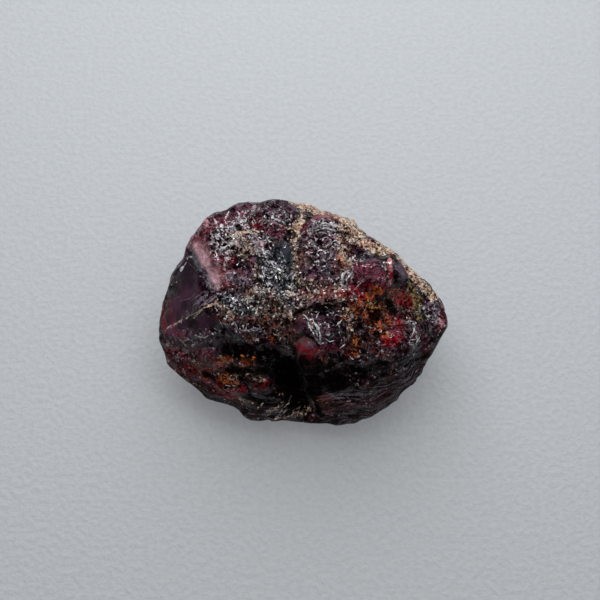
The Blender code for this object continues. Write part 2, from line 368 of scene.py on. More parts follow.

# A stain: its path in the picture, its half width in mm and its strength. Each mineral has its own, and the
# painted shade and the painted glints are laid out as stains too.
Stain = namedtuple("Stain", "path width strength")
STAINS = {
    # the glassy breaks' own extent
    "window": (
        Stain(((186, 262), (190, 286), (180, 310), (172, 322)), 2.2, 1.0),
        Stain(((190, 324), (204, 322), (214, 316)), 0.8, 1.0),
    ),
    # smooth glassy places among the broken skin
    "smooth": (
        Stain(((197, 246), (208, 262), (216, 280)), 0.9, 0.75),
        Stain(((360, 266), (376, 270)), 0.9, 0.4),
        Stain(((306, 346), (307, 354)), 1.1, 1.0),
        Stain(((219, 387), (230, 394), (243, 391)), 0.5, 0.8),
        Stain(((285, 244), (286, 256)), 0.45, 0.8),
        Stain(((401, 267), (404, 277)), 0.6, 0.9),
        Stain(((315, 217), (330, 216)), 0.45, 0.9),
        Stain(((301, 318), (302, 328)), 0.5, 0.9),
        Stain(((388, 258), (391, 276)), 0.3, 0.8),
        Stain(((390, 340), (398, 330)), 0.5, 0.3),
    ),
    # paler plum garnet
    "plum": (
        Stain(((226, 216), (250, 208), (284, 210)), 1.6, 1.0),
        Stain(((256, 228), (276, 232)), 1.0, 0.8),
        Stain(((312, 238), (330, 244), (336, 262), (322, 276), (310, 262)), 1.8, 1.0),
        Stain(((226, 272), (246, 280), (256, 262)), 1.3, 0.8),
        Stain(((350, 264), (368, 262), (386, 268)), 1.5, 1.0),
        Stain(((176, 336), (196, 346), (212, 340)), 1.3, 0.9),
        Stain(((162, 342), (168, 356), (180, 370)), 0.8, 0.8),
        Stain(((310, 322), (320, 334), (338, 338)), 1.2, 0.8),
        Stain(((428, 306), (436, 314), (432, 326)), 0.9, 0.8),
        Stain(((434, 290), (441, 297), (446, 306)), 1.0, 1.0),
        Stain(((394, 322), (398, 330)), 0.5, 0.8),
        Stain(((348, 402), (380, 400), (404, 388)), 1.0, 0.5),
        Stain(((300, 343), (310, 344), (316, 349)), 0.7, 1.0),
        Stain(((396, 264), (400, 272), (405, 279)), 1.0, 0.6),
    ),
    # wine-red garnet
    "wine": (
        Stain(((200, 232), (222, 222), (250, 212)), 1.4, 0.8),
        Stain(((196, 238), (214, 262), (232, 280)), 1.6, 0.9),
        Stain(((168, 300), (172, 322), (180, 336)), 1.0, 0.45),
        Stain(((262, 222), (276, 232)), 1.2, 0.6),
        Stain(((308, 226), (318, 217), (332, 218)), 1.0, 0.9),
        Stain(((352, 272), (368, 274), (382, 284)), 1.3, 0.8),
        Stain(((300, 296), (322, 292), (344, 292)), 0.9, 0.9),
        Stain(((172, 350), (190, 366), (212, 382)), 1.6, 1.0),
        Stain(((196, 350), (216, 362)), 1.2, 0.6),
        Stain(((161, 300), (162, 318), (164, 334)), 0.5, 0.8),
        Stain(((300, 352), (330, 352), (344, 346)), 0.9, 0.7),
        Stain(((396, 318), (400, 334), (384, 344)), 0.9, 0.9),
        Stain(((443, 308), (445, 318), (441, 330)), 0.5, 0.8),
        Stain(((420, 330), (428, 350)), 0.6, 0.6),
        Stain(((322, 404), (360, 404), (390, 396)), 1.0, 0.5),
        Stain(((350, 232), (354, 235)), 0.35, 0.9),
        Stain(((348, 350), (382, 356), (416, 342)), 0.9, 0.7),
    ),
    # thin crimson garnet
    "crimson": (
        Stain(((200, 238), (206, 248)), 0.6, 0.6),
        Stain(((224, 262), (232, 256)), 0.6, 0.8),
        Stain(((222, 272), (226, 282)), 0.5, 0.8),
        Stain(((254, 224), (260, 226)), 0.5, 1.0),
        Stain(((240, 222), (246, 228)), 0.4, 0.8),
        Stain(((163, 312), (165, 326)), 0.35, 0.8),
        Stain(((346, 296), (364, 298)), 1.0, 0.9),
        Stain(((352, 288), (366, 286)), 0.8, 0.6),
        Stain(((396, 294), (408, 300)), 0.9, 0.9),
        Stain(((396, 322), (402, 336)), 0.5, 1.0),
        Stain(((388, 342), (396, 342)), 0.5, 0.9),
        Stain(((298, 349), (307, 354), (315, 353)), 0.6, 1.0),
        Stain(((218, 387), (229, 395), (241, 392)), 0.8, 1.0),
        Stain(((188, 366), (204, 378)), 0.7, 0.6),
        Stain(((258, 388), (266, 384)), 0.6, 0.9),
        Stain(((443, 312), (445, 320)), 0.4, 0.7),
        Stain(((321, 398), (327, 404), (330, 410)), 0.8, 1.0),
        Stain(((388, 264), (391, 280)), 0.35, 1.0),
    ),
    # cherry-red garnet, lit from within
    "cherry": (
        Stain(((299, 352), (304, 356), (310, 357)), 0.4, 0.8),
        Stain(((397, 323), (400, 334)), 0.4, 1.0),
        Stain(((387, 343), (396, 342)), 0.45, 0.8),
        Stain(((219, 391), (229, 397), (240, 394)), 0.55, 0.85),
        Stain(((260, 388), (266, 384)), 0.4, 0.8),
        Stain(((163, 313), (165, 325)), 0.25, 0.8),
        Stain(((226, 260), (231, 254)), 0.35, 0.7),
        Stain(((254, 224), (260, 226)), 0.3, 0.7),
        Stain(((346, 297), (360, 298)), 0.55, 0.8),
        Stain(((394, 297), (408, 300)), 0.5, 0.7),
        Stain(((389, 268), (391, 279)), 0.25, 0.9),
        Stain(((321, 396), (326, 403), (330, 409)), 0.75, 0.85),
        Stain(((312, 300), (322, 297)), 0.4, 0.5),
    ),
    # frosted rose garnet
    "rose": (
        Stain(((195, 248), (207, 264), (216, 282)), 0.75, 0.9),
        Stain(((202, 244), (216, 264), (224, 280)), 1.0, 0.4),
        Stain(((178, 240), (190, 230), (202, 222)), 1.0, 0.55),
        Stain(((238, 238), (254, 246)), 1.0, 0.9),
        Stain(((209, 283), (217, 287)), 0.5, 0.9),
        Stain(((315, 218), (322, 216), (331, 219)), 0.35, 0.35),
        Stain(((316, 231), (326, 228), (336, 232)), 0.8, 0.85),
        Stain(((368, 241), (373, 245)), 0.3, 0.7),
        Stain(((388, 256), (391, 268)), 0.42, 0.6),
        Stain(((308, 306), (318, 302)), 0.4, 0.6),
        Stain(((440, 318), (443, 325)), 0.5, 0.5),
        Stain(((224, 388), (232, 391), (238, 389)), 0.25, 0.4),
    ),
    # a thin grey veil: frost, and painted sheen where the glassy garnet reflects the room
    "veil": (
        Stain(((240, 240), (252, 250)), 0.9, 0.8),
        Stain(((232, 276), (244, 284)), 0.9, 0.7),
        Stain(((432, 298), (437, 307), (434, 318)), 0.7, 0.7),
        Stain(((236, 240), (254, 236)), 0.8, 0.6),
        Stain(((318, 222), (328, 220), (336, 223)), 0.4, 0.5),
        Stain(((301, 342), (309, 343), (315, 348)), 0.4, 0.35),
        Stain(((194, 255), (203, 270), (212, 287)), 0.55, 1.0),
        Stain(((314, 228), (326, 226), (338, 232)), 0.9, 0.9),
        Stain(((398, 267), (404, 277)), 0.6, 0.55),
    ),
    # slate-grey mica ground
    "slate": (
        Stain(((288, 242), (284, 256), (282, 276), (290, 296)), 1.6, 1.0),
        Stain(((264, 262), (270, 284)), 1.2, 0.8),
        Stain(((226, 300), (244, 306), (262, 302)), 1.2, 0.9),
        Stain(((397, 266), (404, 277)), 0.75, 0.4),
        Stain(((352, 258), (368, 257)), 0.8, 0.55),
        Stain(((318, 256), (330, 270)), 1.0, 0.5),
        Stain(((232, 326), (262, 330)), 0.6, 0.5),
    ),
    # red-brown stained ground
    "umber": (
        Stain(((250, 296), (276, 306), (296, 312)), 1.5, 0.7),
        Stain(((262, 318), (286, 332), (300, 344)), 1.3, 0.6),
        Stain(((226, 318), (250, 322), (246, 340)), 1.2, 0.5),
        Stain(((170, 352), (188, 368), (208, 382)), 1.4, 0.85),
        Stain(((204, 362), (226, 366), (256, 372)), 1.4, 0.7),
        Stain(((348, 350), (370, 354), (384, 352)), 0.8, 0.5),
        Stain(((262, 318), (292, 336)), 1.2, 0.7),
        Stain(((300, 206), (294, 230), (304, 260)), 0.8, 0.7),
        Stain(((340, 232), (346, 250), (340, 268)), 0.9, 0.7),
        Stain(((350, 306), (378, 312), (400, 308)), 1.5, 0.8),
        Stain(((306, 362), (326, 362), (338, 372)), 0.9, 0.5),
        Stain(((348, 346), (372, 340), (386, 326)), 0.9, 0.6),
    ),
    # orange iron stain
    "iron": (
        Stain(((219, 380), (228, 382), (237, 382)), 0.4, 0.9),
        Stain(((196, 364), (208, 376)), 0.9, 0.4),
        Stain(((222, 360), (230, 358)), 0.6, 1.0),
        Stain(((243, 362), (252, 358)), 0.5, 1.0),
        Stain(((222, 378), (228, 376)), 0.5, 0.9),
        Stain(((196, 370), (212, 366)), 0.8, 0.4),
        Stain(((368, 298), (376, 289), (380, 292)), 0.45, 1.0),
        Stain(((392, 290), (406, 298)), 0.6, 0.4),
        Stain(((380, 328), (386, 334)), 0.55, 0.75),
        Stain(((372, 332), (380, 322)), 0.5, 0.6),
        Stain(((386, 318), (392, 324)), 0.4, 0.7),
        Stain(((354, 350), (357, 354)), 0.4, 1.0),
        Stain(((342, 320), (352, 326)), 0.5, 0.4),
        Stain(((352, 304), (362, 302)), 0.6, 0.7),
        Stain(((356, 310), (372, 308), (386, 314)), 0.8, 0.55),
        Stain(((366, 318), (376, 324)), 0.7, 0.6),
        Stain(((354, 336), (358, 346)), 0.5, 0.8),
        Stain(((318, 400), (328, 402)), 0.6, 0.6),
        Stain(((272, 340), (276, 334)), 0.4, 0.6),
        Stain(((308, 366), (316, 364)), 0.5, 0.4),
        Stain(((340, 258), (344, 262)), 0.35, 0.9),
        Stain(((301, 204), (302, 216), (300, 230)), 0.4, 0.45),
        Stain(((334, 210), (346, 216)), 0.5, 0.4),
        Stain(((344, 226), (348, 236)), 0.4, 0.6),
    ),
    # yellow-green film
    "olive": (
        Stain(((410, 286), (416, 300)), 0.8, 0.8),
        Stain(((416, 310), (420, 318)), 0.6, 1.0),
        Stain(((386, 292), (394, 310)), 0.6, 0.5),
        Stain(((366, 304), (380, 306)), 0.6, 0.6),
        Stain(((342, 256), (346, 264)), 0.4, 0.6),
        Stain(((344, 246), (352, 250)), 0.4, 0.6),
        Stain(((296, 284), (316, 288), (336, 286)), 0.9, 0.45),
    ),
    # tan crust
    "crust": (
        Stain(((292, 202), (314, 204), (338, 211), (362, 226)), 1.2, 1.0),
        Stain(((362, 228), (384, 245), (404, 262)), 1.0, 0.85),
        Stain(((404, 264), (420, 283), (432, 296)), 0.6, 0.7),
        Stain(((428, 288), (436, 296)), 0.5, 0.7),
        Stain(((296, 200), (320, 203), (342, 211), (364, 226)), 1.2, 1.0),
        Stain(((364, 228), (386, 244), (408, 263), (420, 277)), 0.8, 0.85),
        Stain(((322, 205), (344, 214), (356, 222)), 0.9, 1.0),
        Stain(((300, 208), (312, 210), (338, 217), (350, 226), (362, 236)), 0.6, 0.9),
        Stain(((302, 206), (300, 222), (294, 240)), 0.5, 0.9),
        Stain(((294, 240), (296, 268), (302, 284)), 0.4, 0.5),
        Stain(((340, 232), (340, 250), (348, 266)), 0.5, 0.55),
        Stain(((350, 238), (366, 244), (384, 252)), 0.7, 0.7),
        Stain(((340, 228), (352, 232)), 0.5, 0.8),
        Stain(((238, 233), (250, 231), (258, 232)), 0.25, 1.0),
        Stain(((236, 240), (250, 252)), 0.9, 0.5),
        Stain(((194, 318), (204, 308), (216, 303)), 0.12, 0.9),
        Stain(((168, 328), (182, 320)), 0.2, 0.4),
        Stain(((216, 300), (224, 308), (232, 318)), 0.35, 0.45),
        Stain(((250, 296), (280, 300), (306, 294), (342, 296)), 1.3, 0.32),
        Stain(((262, 312), (290, 316)), 0.9, 0.35),
        Stain(((340, 298), (352, 316), (350, 334)), 0.6, 0.5),
        Stain(((254, 252), (256, 276), (262, 292)), 0.5, 0.28),
        Stain(((268, 412), (282, 406), (290, 400)), 0.4, 0.45),
        Stain(((276, 418), (300, 414), (310, 408)), 0.4, 0.5),
        Stain(((240, 398), (252, 402)), 0.5, 0.5),
        Stain(((230, 378), (244, 374), (262, 378)), 0.4, 0.5),
        Stain(((174, 336), (186, 344)), 0.3, 0.35),
        Stain(((400, 258), (412, 268)), 0.5, 1.0),
    ),
    # silvery specks of mica
    "mica": (
        Stain(((254, 300), (290, 306), (300, 298)), 1.2, 0.5),
        Stain(((262, 252), (270, 276), (280, 292)), 1.0, 0.9),
        Stain(((278, 268), (290, 280), (292, 298)), 1.0, 1.0),
        Stain(((226, 298), (250, 306)), 1.0, 0.9),
        Stain(((230, 324), (262, 330)), 0.5, 0.8),
        Stain(((318, 262), (334, 280)), 1.0, 0.5),
        Stain(((256, 236), (262, 244)), 0.6, 0.6),
        Stain(((284, 222), (276, 212)), 0.9, 0.25),
    ),
    # ground whose splinters catch the light: glossier, and painted with pale glints that stand in for that
    # light
    "glint": (
        Stain(((168, 344), (178, 350), (192, 350)), 0.8, 0.25),
        Stain(((350, 352), (384, 356), (416, 344)), 0.9, 0.2),
        Stain(((214, 232), (220, 244), (224, 256)), 0.9, 1.0),
        Stain(((226, 230), (236, 224), (248, 214)), 0.9, 1.0),
        Stain(((210, 246), (222, 250), (230, 246)), 0.7, 1.0),
        Stain(((248, 222), (250, 232)), 0.5, 0.9),
        Stain(((256, 214), (276, 216), (288, 222)), 1.2, 0.35),
        Stain(((246, 236), (252, 248)), 0.7, 0.8),
        Stain(((262, 240), (262, 262), (258, 286)), 1.0, 0.7),
        Stain(((276, 266), (284, 276)), 0.7, 1.0),
        Stain(((182, 252), (180, 268), (186, 262)), 0.25, 1.0),
        Stain(((308, 318), (314, 330), (320, 344)), 0.3, 0.4),
        Stain(((300, 316), (312, 312)), 0.5, 0.4),
        Stain(((328, 326), (342, 334)), 0.7, 0.35),
        Stain(((340, 286), (346, 276), (352, 272)), 0.5, 1.0),
        Stain(((346, 282), (352, 278)), 0.4, 1.0),
        Stain(((312, 240), (330, 250), (336, 242)), 0.9, 0.5),
        Stain(((314, 226), (326, 224), (338, 228)), 0.6, 0.8),
        Stain(((412, 324), (418, 334), (414, 344)), 0.6, 0.9),
        Stain(((424, 312), (432, 320)), 0.7, 0.8),
        Stain(((236, 302), (262, 296)), 0.7, 0.6),
        Stain(((222, 322), (240, 328), (258, 328)), 0.4, 0.9),
        Stain(((186, 344), (204, 336)), 0.8, 0.3),
        Stain(((384, 270), (396, 262)), 0.6, 0.6),
        Stain(((358, 258), (370, 254)), 0.5, 0.7),
        Stain(((250, 392), (262, 398)), 0.4, 0.7),
    ),
    # painted shade: dead black painted into the hollows, the crevice and the creases where shade falls
    "shade": (
        Stain(((297, 338), (304, 334), (312, 337), (318, 345)), 0.2, 0.8),
        Stain(((284, 362), (290, 380), (294, 396)), 1.7, 1.0),
        Stain(((298, 372), (318, 380), (310, 394)), 1.0, 0.9),
        Stain(((226, 348), (248, 352), (272, 356)), 1.2, 0.72),
        Stain(((232, 368), (240, 374), (268, 370)), 0.8, 0.8),
        Stain(((204, 374), (214, 378)), 0.6, 0.9),
        Stain(((246, 396), (262, 402), (280, 402)), 0.9, 0.8),
        Stain(((206, 392), (216, 403), (232, 411)), 0.4, 0.45),
        Stain(((246, 384), (252, 392)), 0.4, 0.6),
        Stain(((304, 368), (311, 392), (319, 413)), 0.7, 1.0),
        Stain(((296, 313), (306, 309), (320, 306), (334, 305)), 0.16, 1.0),
        Stain(((348, 372), (380, 366), (404, 354)), 1.2, 0.6),
        Stain(((302, 366), (316, 371), (336, 384)), 1.5, 1.0),
        Stain(((290, 231), (293, 236)), 0.4, 1.0),
        Stain(((300, 316), (303, 330)), 0.7, 0.4),
        Stain(((316, 324), (319, 332)), 0.14, 0.9),
        Stain(((187, 250), (190, 253)), 0.3, 1.0),
        Stain(((212, 248), (214, 252)), 0.25, 0.9),
        Stain(((237, 226), (240, 229)), 0.3, 0.9),
        Stain(((388, 302), (394, 312)), 0.5, 0.8),
        Stain(((380, 312), (372, 318)), 0.5, 0.8),
        Stain(((350, 338), (366, 334)), 0.5, 0.6),
        Stain(((372, 322), (378, 334)), 0.35, 0.5),
    ),
}
FINISHES = ("window", "smooth")
MINERALS = tuple(mineral for mineral in STAINS if mineral not in FINISHES)

# A splinter or rim that stands on the skin: its finish, its path in the picture, and its width in mm.
Stroke = namedtuple("Stroke", "finish path width")
# The lilac and the near-white splinters are painted highlights that stand in for glints of light.
STROKES = (
    # the star of splinters on the crown, painted pale as its glints
    Stroke("lilac", ((215, 219), (217, 225), (218, 231)), 0.20),
    Stroke("lilac", ((217, 221), (222, 226), (223, 232)), 0.22),
    Stroke("lilac", ((217, 234), (221, 238), (226, 240)), 0.22),
    Stroke("lilac", ((229, 211), (225, 219), (228, 230)), 0.14),
    Stroke("lilac", ((245, 209), (245, 216), (240, 224)), 0.16),
    Stroke("lilac", ((248, 219), (242, 229)), 0.16),
    Stroke("lilac", ((235, 223), (230, 233)), 0.14),
    Stroke("lilac", ((207, 245), (215, 242), (223, 249)), 0.16),
    Stroke("lilac", ((210, 253), (217, 250), (223, 247)), 0.14),
    Stroke("lilac", ((222, 250), (228, 245), (236, 239)), 0.16),
    Stroke("lilac", ((218, 256), (215, 250)), 0.12),
    Stroke("lilac", ((230, 235), (238, 240)), 0.14),
    Stroke("lilac", ((222, 252), (226, 260), (224, 268)), 0.12),
    Stroke("lilac", ((210, 230), (213, 238)), 0.10),
    Stroke("lilac", ((236, 212), (240, 214), (238, 220)), 0.12),
    Stroke("lilac", ((272, 213), (276, 211)), 0.14),
    Stroke("lilac", ((274, 218), (280, 221)), 0.14),
    Stroke("lilac", ((278, 215), (280, 223)), 0.12),
    Stroke("lilac", ((262, 218), (258, 224)), 0.12),
    Stroke("lilac", ((252, 218), (255, 224)), 0.14),
    Stroke("lilac", ((286, 216), (291, 221)), 0.10),
    # the cream ridge on the crown and the rims of the crust
    Stroke("cream", ((236, 234), (244, 231), (252, 232), (258, 236)), 0.16),
    Stroke("cream", ((252, 216), (254, 226), (251, 231)), 0.12),
    Stroke("cream", ((280, 225), (287, 229), (296, 226)), 0.12),
    Stroke("cream", ((332, 246), (338, 250), (344, 246)), 0.12),
    Stroke("cream", ((342, 262), (348, 264), (352, 260)), 0.12),
    Stroke("cream", ((252, 286), (256, 290)), 0.14),
    # jagged rim between the two breaks
    Stroke("cream", ((186, 318), (194, 315), (200, 310), (207, 306), (213, 304), (219, 301)), 0.14),
    Stroke("cream", ((168, 329), (174, 324), (181, 320)), 0.12),
    Stroke("cream", ((213, 302), (215, 308), (218, 312)), 0.10),
    # bundle of frosted splinters in the upper break
    Stroke("veil", ((193, 306), (201, 300), (209, 292)), 0.30),
    Stroke("veil", ((199, 308), (208, 300), (216, 294)), 0.26),
    Stroke("veil", ((205, 306), (214, 298), (221, 292)), 0.18),
    Stroke("veil", ((190, 302), (198, 296), (206, 290)), 0.12),
    Stroke("veil", ((176, 302), (188, 299), (198, 296)), 0.08),
    Stroke("veil", ((187, 262), (194, 268), (199, 274)), 0.08),
    # the white glint at the breaks' corner
    Stroke("lilac", ((181, 271), (183, 267), (186, 262)), 0.18),
    Stroke("lilac", ((187, 260), (190, 256), (193, 258)), 0.18),
    # painted highlights: bright arcs on the rippled knob
    Stroke("painted_gleam", ((316, 226), (325, 223), (336, 226)), 0.12),
    Stroke("painted_gleam", ((314, 231), (325, 228), (337, 231)), 0.14),
    Stroke("painted_gleam", ((316, 228), (325, 225), (333, 228)), 0.08),
    Stroke("painted_gleam", ((313, 235), (321, 232), (330, 235)), 0.10),
    Stroke("painted_gleam", ((318, 240), (326, 237), (333, 241)), 0.10),
    Stroke("painted_gleam", ((330, 244), (336, 240), (340, 244)), 0.16),
    Stroke("lilac", ((318, 252), (324, 250)), 0.18),
    Stroke("lilac", ((304, 246), (308, 250)), 0.14),
    # painted highlights: bright arcs on the plum knob
    Stroke("painted_gleam", ((342, 281), (343, 274), (350, 270)), 0.18),
    Stroke("painted_gleam", ((346, 280), (350, 276), (353, 272)), 0.16),
    Stroke("lilac", ((340, 286), (346, 288), (352, 286)), 0.10),
    Stroke("lilac", ((350, 262), (356, 264)), 0.10),
    Stroke("painted_gleam", ((352, 292), (360, 284), (366, 276)), 0.08),
    # painted highlights: wavy bright lines on the middle knob, where it looks wet
    Stroke("painted_gleam", ((312, 317), (314, 323), (318, 328), (320, 335), (320, 342)), 0.20),
    Stroke("painted_gleam", ((308, 322), (310, 328), (313, 333), (316, 340)), 0.18),
    Stroke("painted_gleam", ((314, 328), (316, 333), (318, 337)), 0.10),
    Stroke("painted_gleam", ((309, 320), (314, 319)), 0.12),
    Stroke("painted_gleam", ((318, 342), (321, 345)), 0.12),
    Stroke("painted_gleam", ((303, 314), (306, 317), (308, 320)), 0.20),
    Stroke("painted_gleam", ((319, 312), (317, 315), (316, 319)), 0.14),
    Stroke("painted_gleam", ((311, 313), (313, 316)), 0.10),
    Stroke("painted_gleam", ((336, 326), (342, 320)), 0.12),
    Stroke("painted_gleam", ((324, 338), (330, 342), (336, 340)), 0.12),
    Stroke("painted_gleam", ((345, 344), (340, 348)), 0.12),
    # painted highlights: wet glints of the mica
    Stroke("painted_gleam", ((277, 268), (281, 271), (284, 275)), 0.20),
    Stroke("painted_gleam", ((258, 274), (263, 278)), 0.20),
    Stroke("painted_gleam", ((262, 248), (264, 254)), 0.16),
    Stroke("painted_gleam", ((286, 284), (290, 288)), 0.14),
    Stroke("painted_gleam", ((306, 286), (309, 292)), 0.14),
    Stroke("painted_gleam", ((268, 282), (272, 286)), 0.14),
    # pale rims along the left of the broken middle, with lilac flecks painted as glints
    Stroke("veil", ((238, 330), (246, 331), (254, 328), (262, 330)), 0.22),
    Stroke("veil", ((230, 318), (236, 324), (238, 330)), 0.12),
    Stroke("lilac", ((222, 300), (230, 296), (238, 298)), 0.10),
    Stroke("lilac", ((184, 341), (188, 338), (192, 340)), 0.12),
    Stroke("lilac", ((187, 344), (185, 348)), 0.12),
    Stroke("lilac", ((196, 336), (202, 338), (207, 336)), 0.10),
    Stroke("lilac", ((192, 345), (196, 342)), 0.10),
    Stroke("lilac", ((208, 342), (213, 340)), 0.08),
    # silver rims above the lower flank: the white ones painted highlights, the grey ones lines along the
    # layers
    Stroke("painted_gleam", ((414, 346), (418, 340), (421, 334)), 0.16),
    Stroke("painted_gleam", ((410, 338), (414, 332), (415, 326)), 0.14),
    Stroke("lilac", ((424, 314), (430, 318)), 0.12),
    Stroke("lilac", ((428, 308), (434, 314)), 0.10),
    Stroke("veil", ((350, 358), (360, 355), (372, 354)), 0.12),
    Stroke("veil", ((398, 360), (408, 356), (418, 350)), 0.10),
    Stroke("veil", ((390, 374), (408, 368), (422, 358)), 0.08),
    Stroke("veil", ((366, 388), (386, 386), (404, 378)), 0.08),
    Stroke("veil", ((326, 392), (336, 398), (350, 398)), 0.08),
    Stroke("veil", ((350, 408), (372, 404), (392, 396)), 0.07),
    # slanting pale streaks along the foot
    Stroke("cream", ((272, 412), (278, 406), (284, 400)), 0.14),
    Stroke("cream", ((282, 414), (288, 410)), 0.14),
    Stroke("cream", ((296, 416), (300, 410)), 0.12),
    Stroke("cream", ((288, 402), (292, 396)), 0.10),
    Stroke("cream", ((266, 417), (272, 409)), 0.12),
    Stroke("cream", ((276, 418), (283, 409), (290, 401)), 0.12),
    Stroke("cream", ((290, 417), (297, 407)), 0.12),
    Stroke("cream", ((304, 415), (310, 407)), 0.12),
    Stroke("cream", ((257, 409), (263, 402)), 0.10),
    Stroke("veil", ((250, 393), (256, 397), (264, 399)), 0.10),
    # cream rim of the red crescent, and a rusty streak down the right flank
    Stroke("cream", ((226, 384), (231, 386), (238, 385)), 0.08),
    Stroke("rust", ((390, 354), (393, 366), (389, 380)), 0.14),
    # salmon rims of the places that are lit red from within
    Stroke("salmon", ((389, 256), (390, 262), (391, 270)), 0.36),
    Stroke("salmon", ((369, 240), (373, 245)), 0.16),
    Stroke("salmon", ((442, 326), (445, 319)), 0.14),
    Stroke("salmon", ((395, 289), (402, 290), (410, 293)), 0.07),
    Stroke("salmon", ((393, 294), (401, 296), (408, 299)), 0.07),
    Stroke("salmon", ((394, 299), (402, 301)), 0.06),
    Stroke("salmon", ((380, 346), (386, 344)), 0.12),
    Stroke("salmon", ((219, 390), (225, 396), (232, 399), (240, 396)), 0.16),
    Stroke("salmon", ((223, 389), (231, 393), (239, 391)), 0.10),
)
# The finishes whose strokes are chains of short blades. The others' strokes are single blades.
BROKEN_FINISHES = ("lilac", "cream")
# How much wider the blades are laid than the strokes say.
BLADE_WIDENING = 1.6
# One blade of a chain for about this many picture units.
BLADE_RUN = 5.0
# How far a blade is set below the skin, in mm.
BLADE_ROOT = 0.06

# Smooth breaks: the way each looks (azimuth and elevation in degrees) and its distance from the heart in mm.
Break = namedtuple("Break", "name azimuth elevation distance")
BREAKS = (Break("upper_window", -172, 36, 13.0), Break("lower_window", -135, 29, 11.6))


def break_normal(smooth_break):
    around, up = math.radians(smooth_break.azimuth), math.radians(smooth_break.elevation)
    return np.array((math.cos(around) * math.cos(up), math.sin(around) * math.cos(up), math.sin(up)))


# ---------------------------------------------------------------- the carved skin


class Skin:
    """The crystal's skin as arrays: points and normals in mm, its edges, and the masks painted on it."""

    def __init__(self, mesh):
        self.mesh = mesh
        count = len(mesh.vertices)
        self.points = np.empty(count * 3)
        mesh.vertices.foreach_get("co", self.points)
        self.points = self.points.reshape(-1, 3)
        ends = np.empty(len(mesh.edges) * 2, dtype=np.int64)
        mesh.edges.foreach_get("vertices", ends)
        self.edges = ends.reshape(-1, 2)
        self.faces = [tuple(face.vertices) for face in mesh.polygons]
        self.masks = {}
        self.read_normals()

    def read_normals(self):
        normals = np.empty(len(self.points) * 3)
        self.mesh.vertex_normals.foreach_get("vector", normals)
        self.normals = normals.reshape(-1, 3)

    def raise_by(self, height):
        """Moves the skin out by a height at each point, in mm."""
        self.points = self.points + self.normals * height[:, None]
        self.mesh.vertices.foreach_set("co", self.points.ravel())
        self.mesh.update()
        self.read_normals()

    def settle(self):
        """Keeps the skin on and above the ground."""
        self.points[:, 2] = np.maximum(self.points[:, 2], 0)
        self.mesh.vertices.foreach_set("co", self.points.ravel())
        self.mesh.update()
        self.read_normals()

    def blurred(self, values, passes):
        """The values spread to their neighbours, pass by pass."""
        count = len(self.points)
        first, second = self.edges.T
        shares = np.bincount(first, minlength=count) + np.bincount(second, minlength=count)
        for _ in range(passes):
            total = np.bincount(first, values[second], count) + np.bincount(second, values[first], count)
            values = 0.5 * values + 0.5 * total / shares
        return values


def fine_skin(carving):
    """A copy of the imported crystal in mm, with small even cells and its own facets worn off."""
    shape = bmesh.new()
    shape.from_mesh(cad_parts[NODE].data)
    bmesh.ops.scale(shape, verts=shape.verts, vec=(1 / MM,) * 3)
    bmesh.ops.remove_doubles(shape, verts=shape.verts, dist=0.001)
    mesh = bpy.data.meshes.new("solid")
    shape.to_mesh(mesh)
    shape.free()
    solid = bpy.data.objects.new("solid", mesh)
    bpy.context.scene.collection.objects.link(solid)
    skin = solid.modifiers.new("skin", "REMESH")
    skin.mode = "VOXEL"
    skin.voxel_size = carving.skin_cell / MM
    wear = solid.modifiers.new("wear", "SMOOTH")
    wear.factor = 0.5
    wear.iterations = carving.wear_passes
    graph = bpy.context.evaluated_depsgraph_get()
    fine = bpy.data.meshes.new_from_object(solid.evaluated_get(graph))
    bpy.data.objects.remove(solid)
    return fine


def mark_breaks(skin):
    """How much each point belongs to a smooth break, from 0 to 1."""
    glass = np.zeros(len(skin.points))
    for smooth_break in BREAKS:
        normal = break_normal(smooth_break)
        off = np.abs((skin.points - HEART) @ normal - smooth_break.distance)
        facing = skin.normals @ normal
        glass = np.maximum(glass, smooth_step(0.5, 0.2, off) * smooth_step(0.75, 0.9, facing))
    return skin.blurred(glass * skin.masks["window"], 2)


def carve_marks(skin, surface):
    """The named hollows, knobs and grooves."""
    ragged = 0.35 * rough_noise(skin.points, 1.6, 2, 70)
    height = np.zeros(len(skin.points))
    for mark in CARVINGS:
        path = [surface.place(*place) for place in mark.path]
        reach = distance_to_path(skin.points, path) / mark.width + ragged
        height += mark.height * smooth_step(1.5, 0.1, reach)
    skin.raise_by(height)


# What the chips and layers add to the skin, in mm: seams between chips, lumps on them, the layers' steps.
SEAM_DEPTH, LUMP_HEIGHT = 0.05, 0.10
LAYER_HEIGHT, LAYER_LIP = 0.22, 0.10
# The broken skin is cut in by more than it is built out.
BUILT_SHARE, CUT_SHARE = 0.3, 1.3


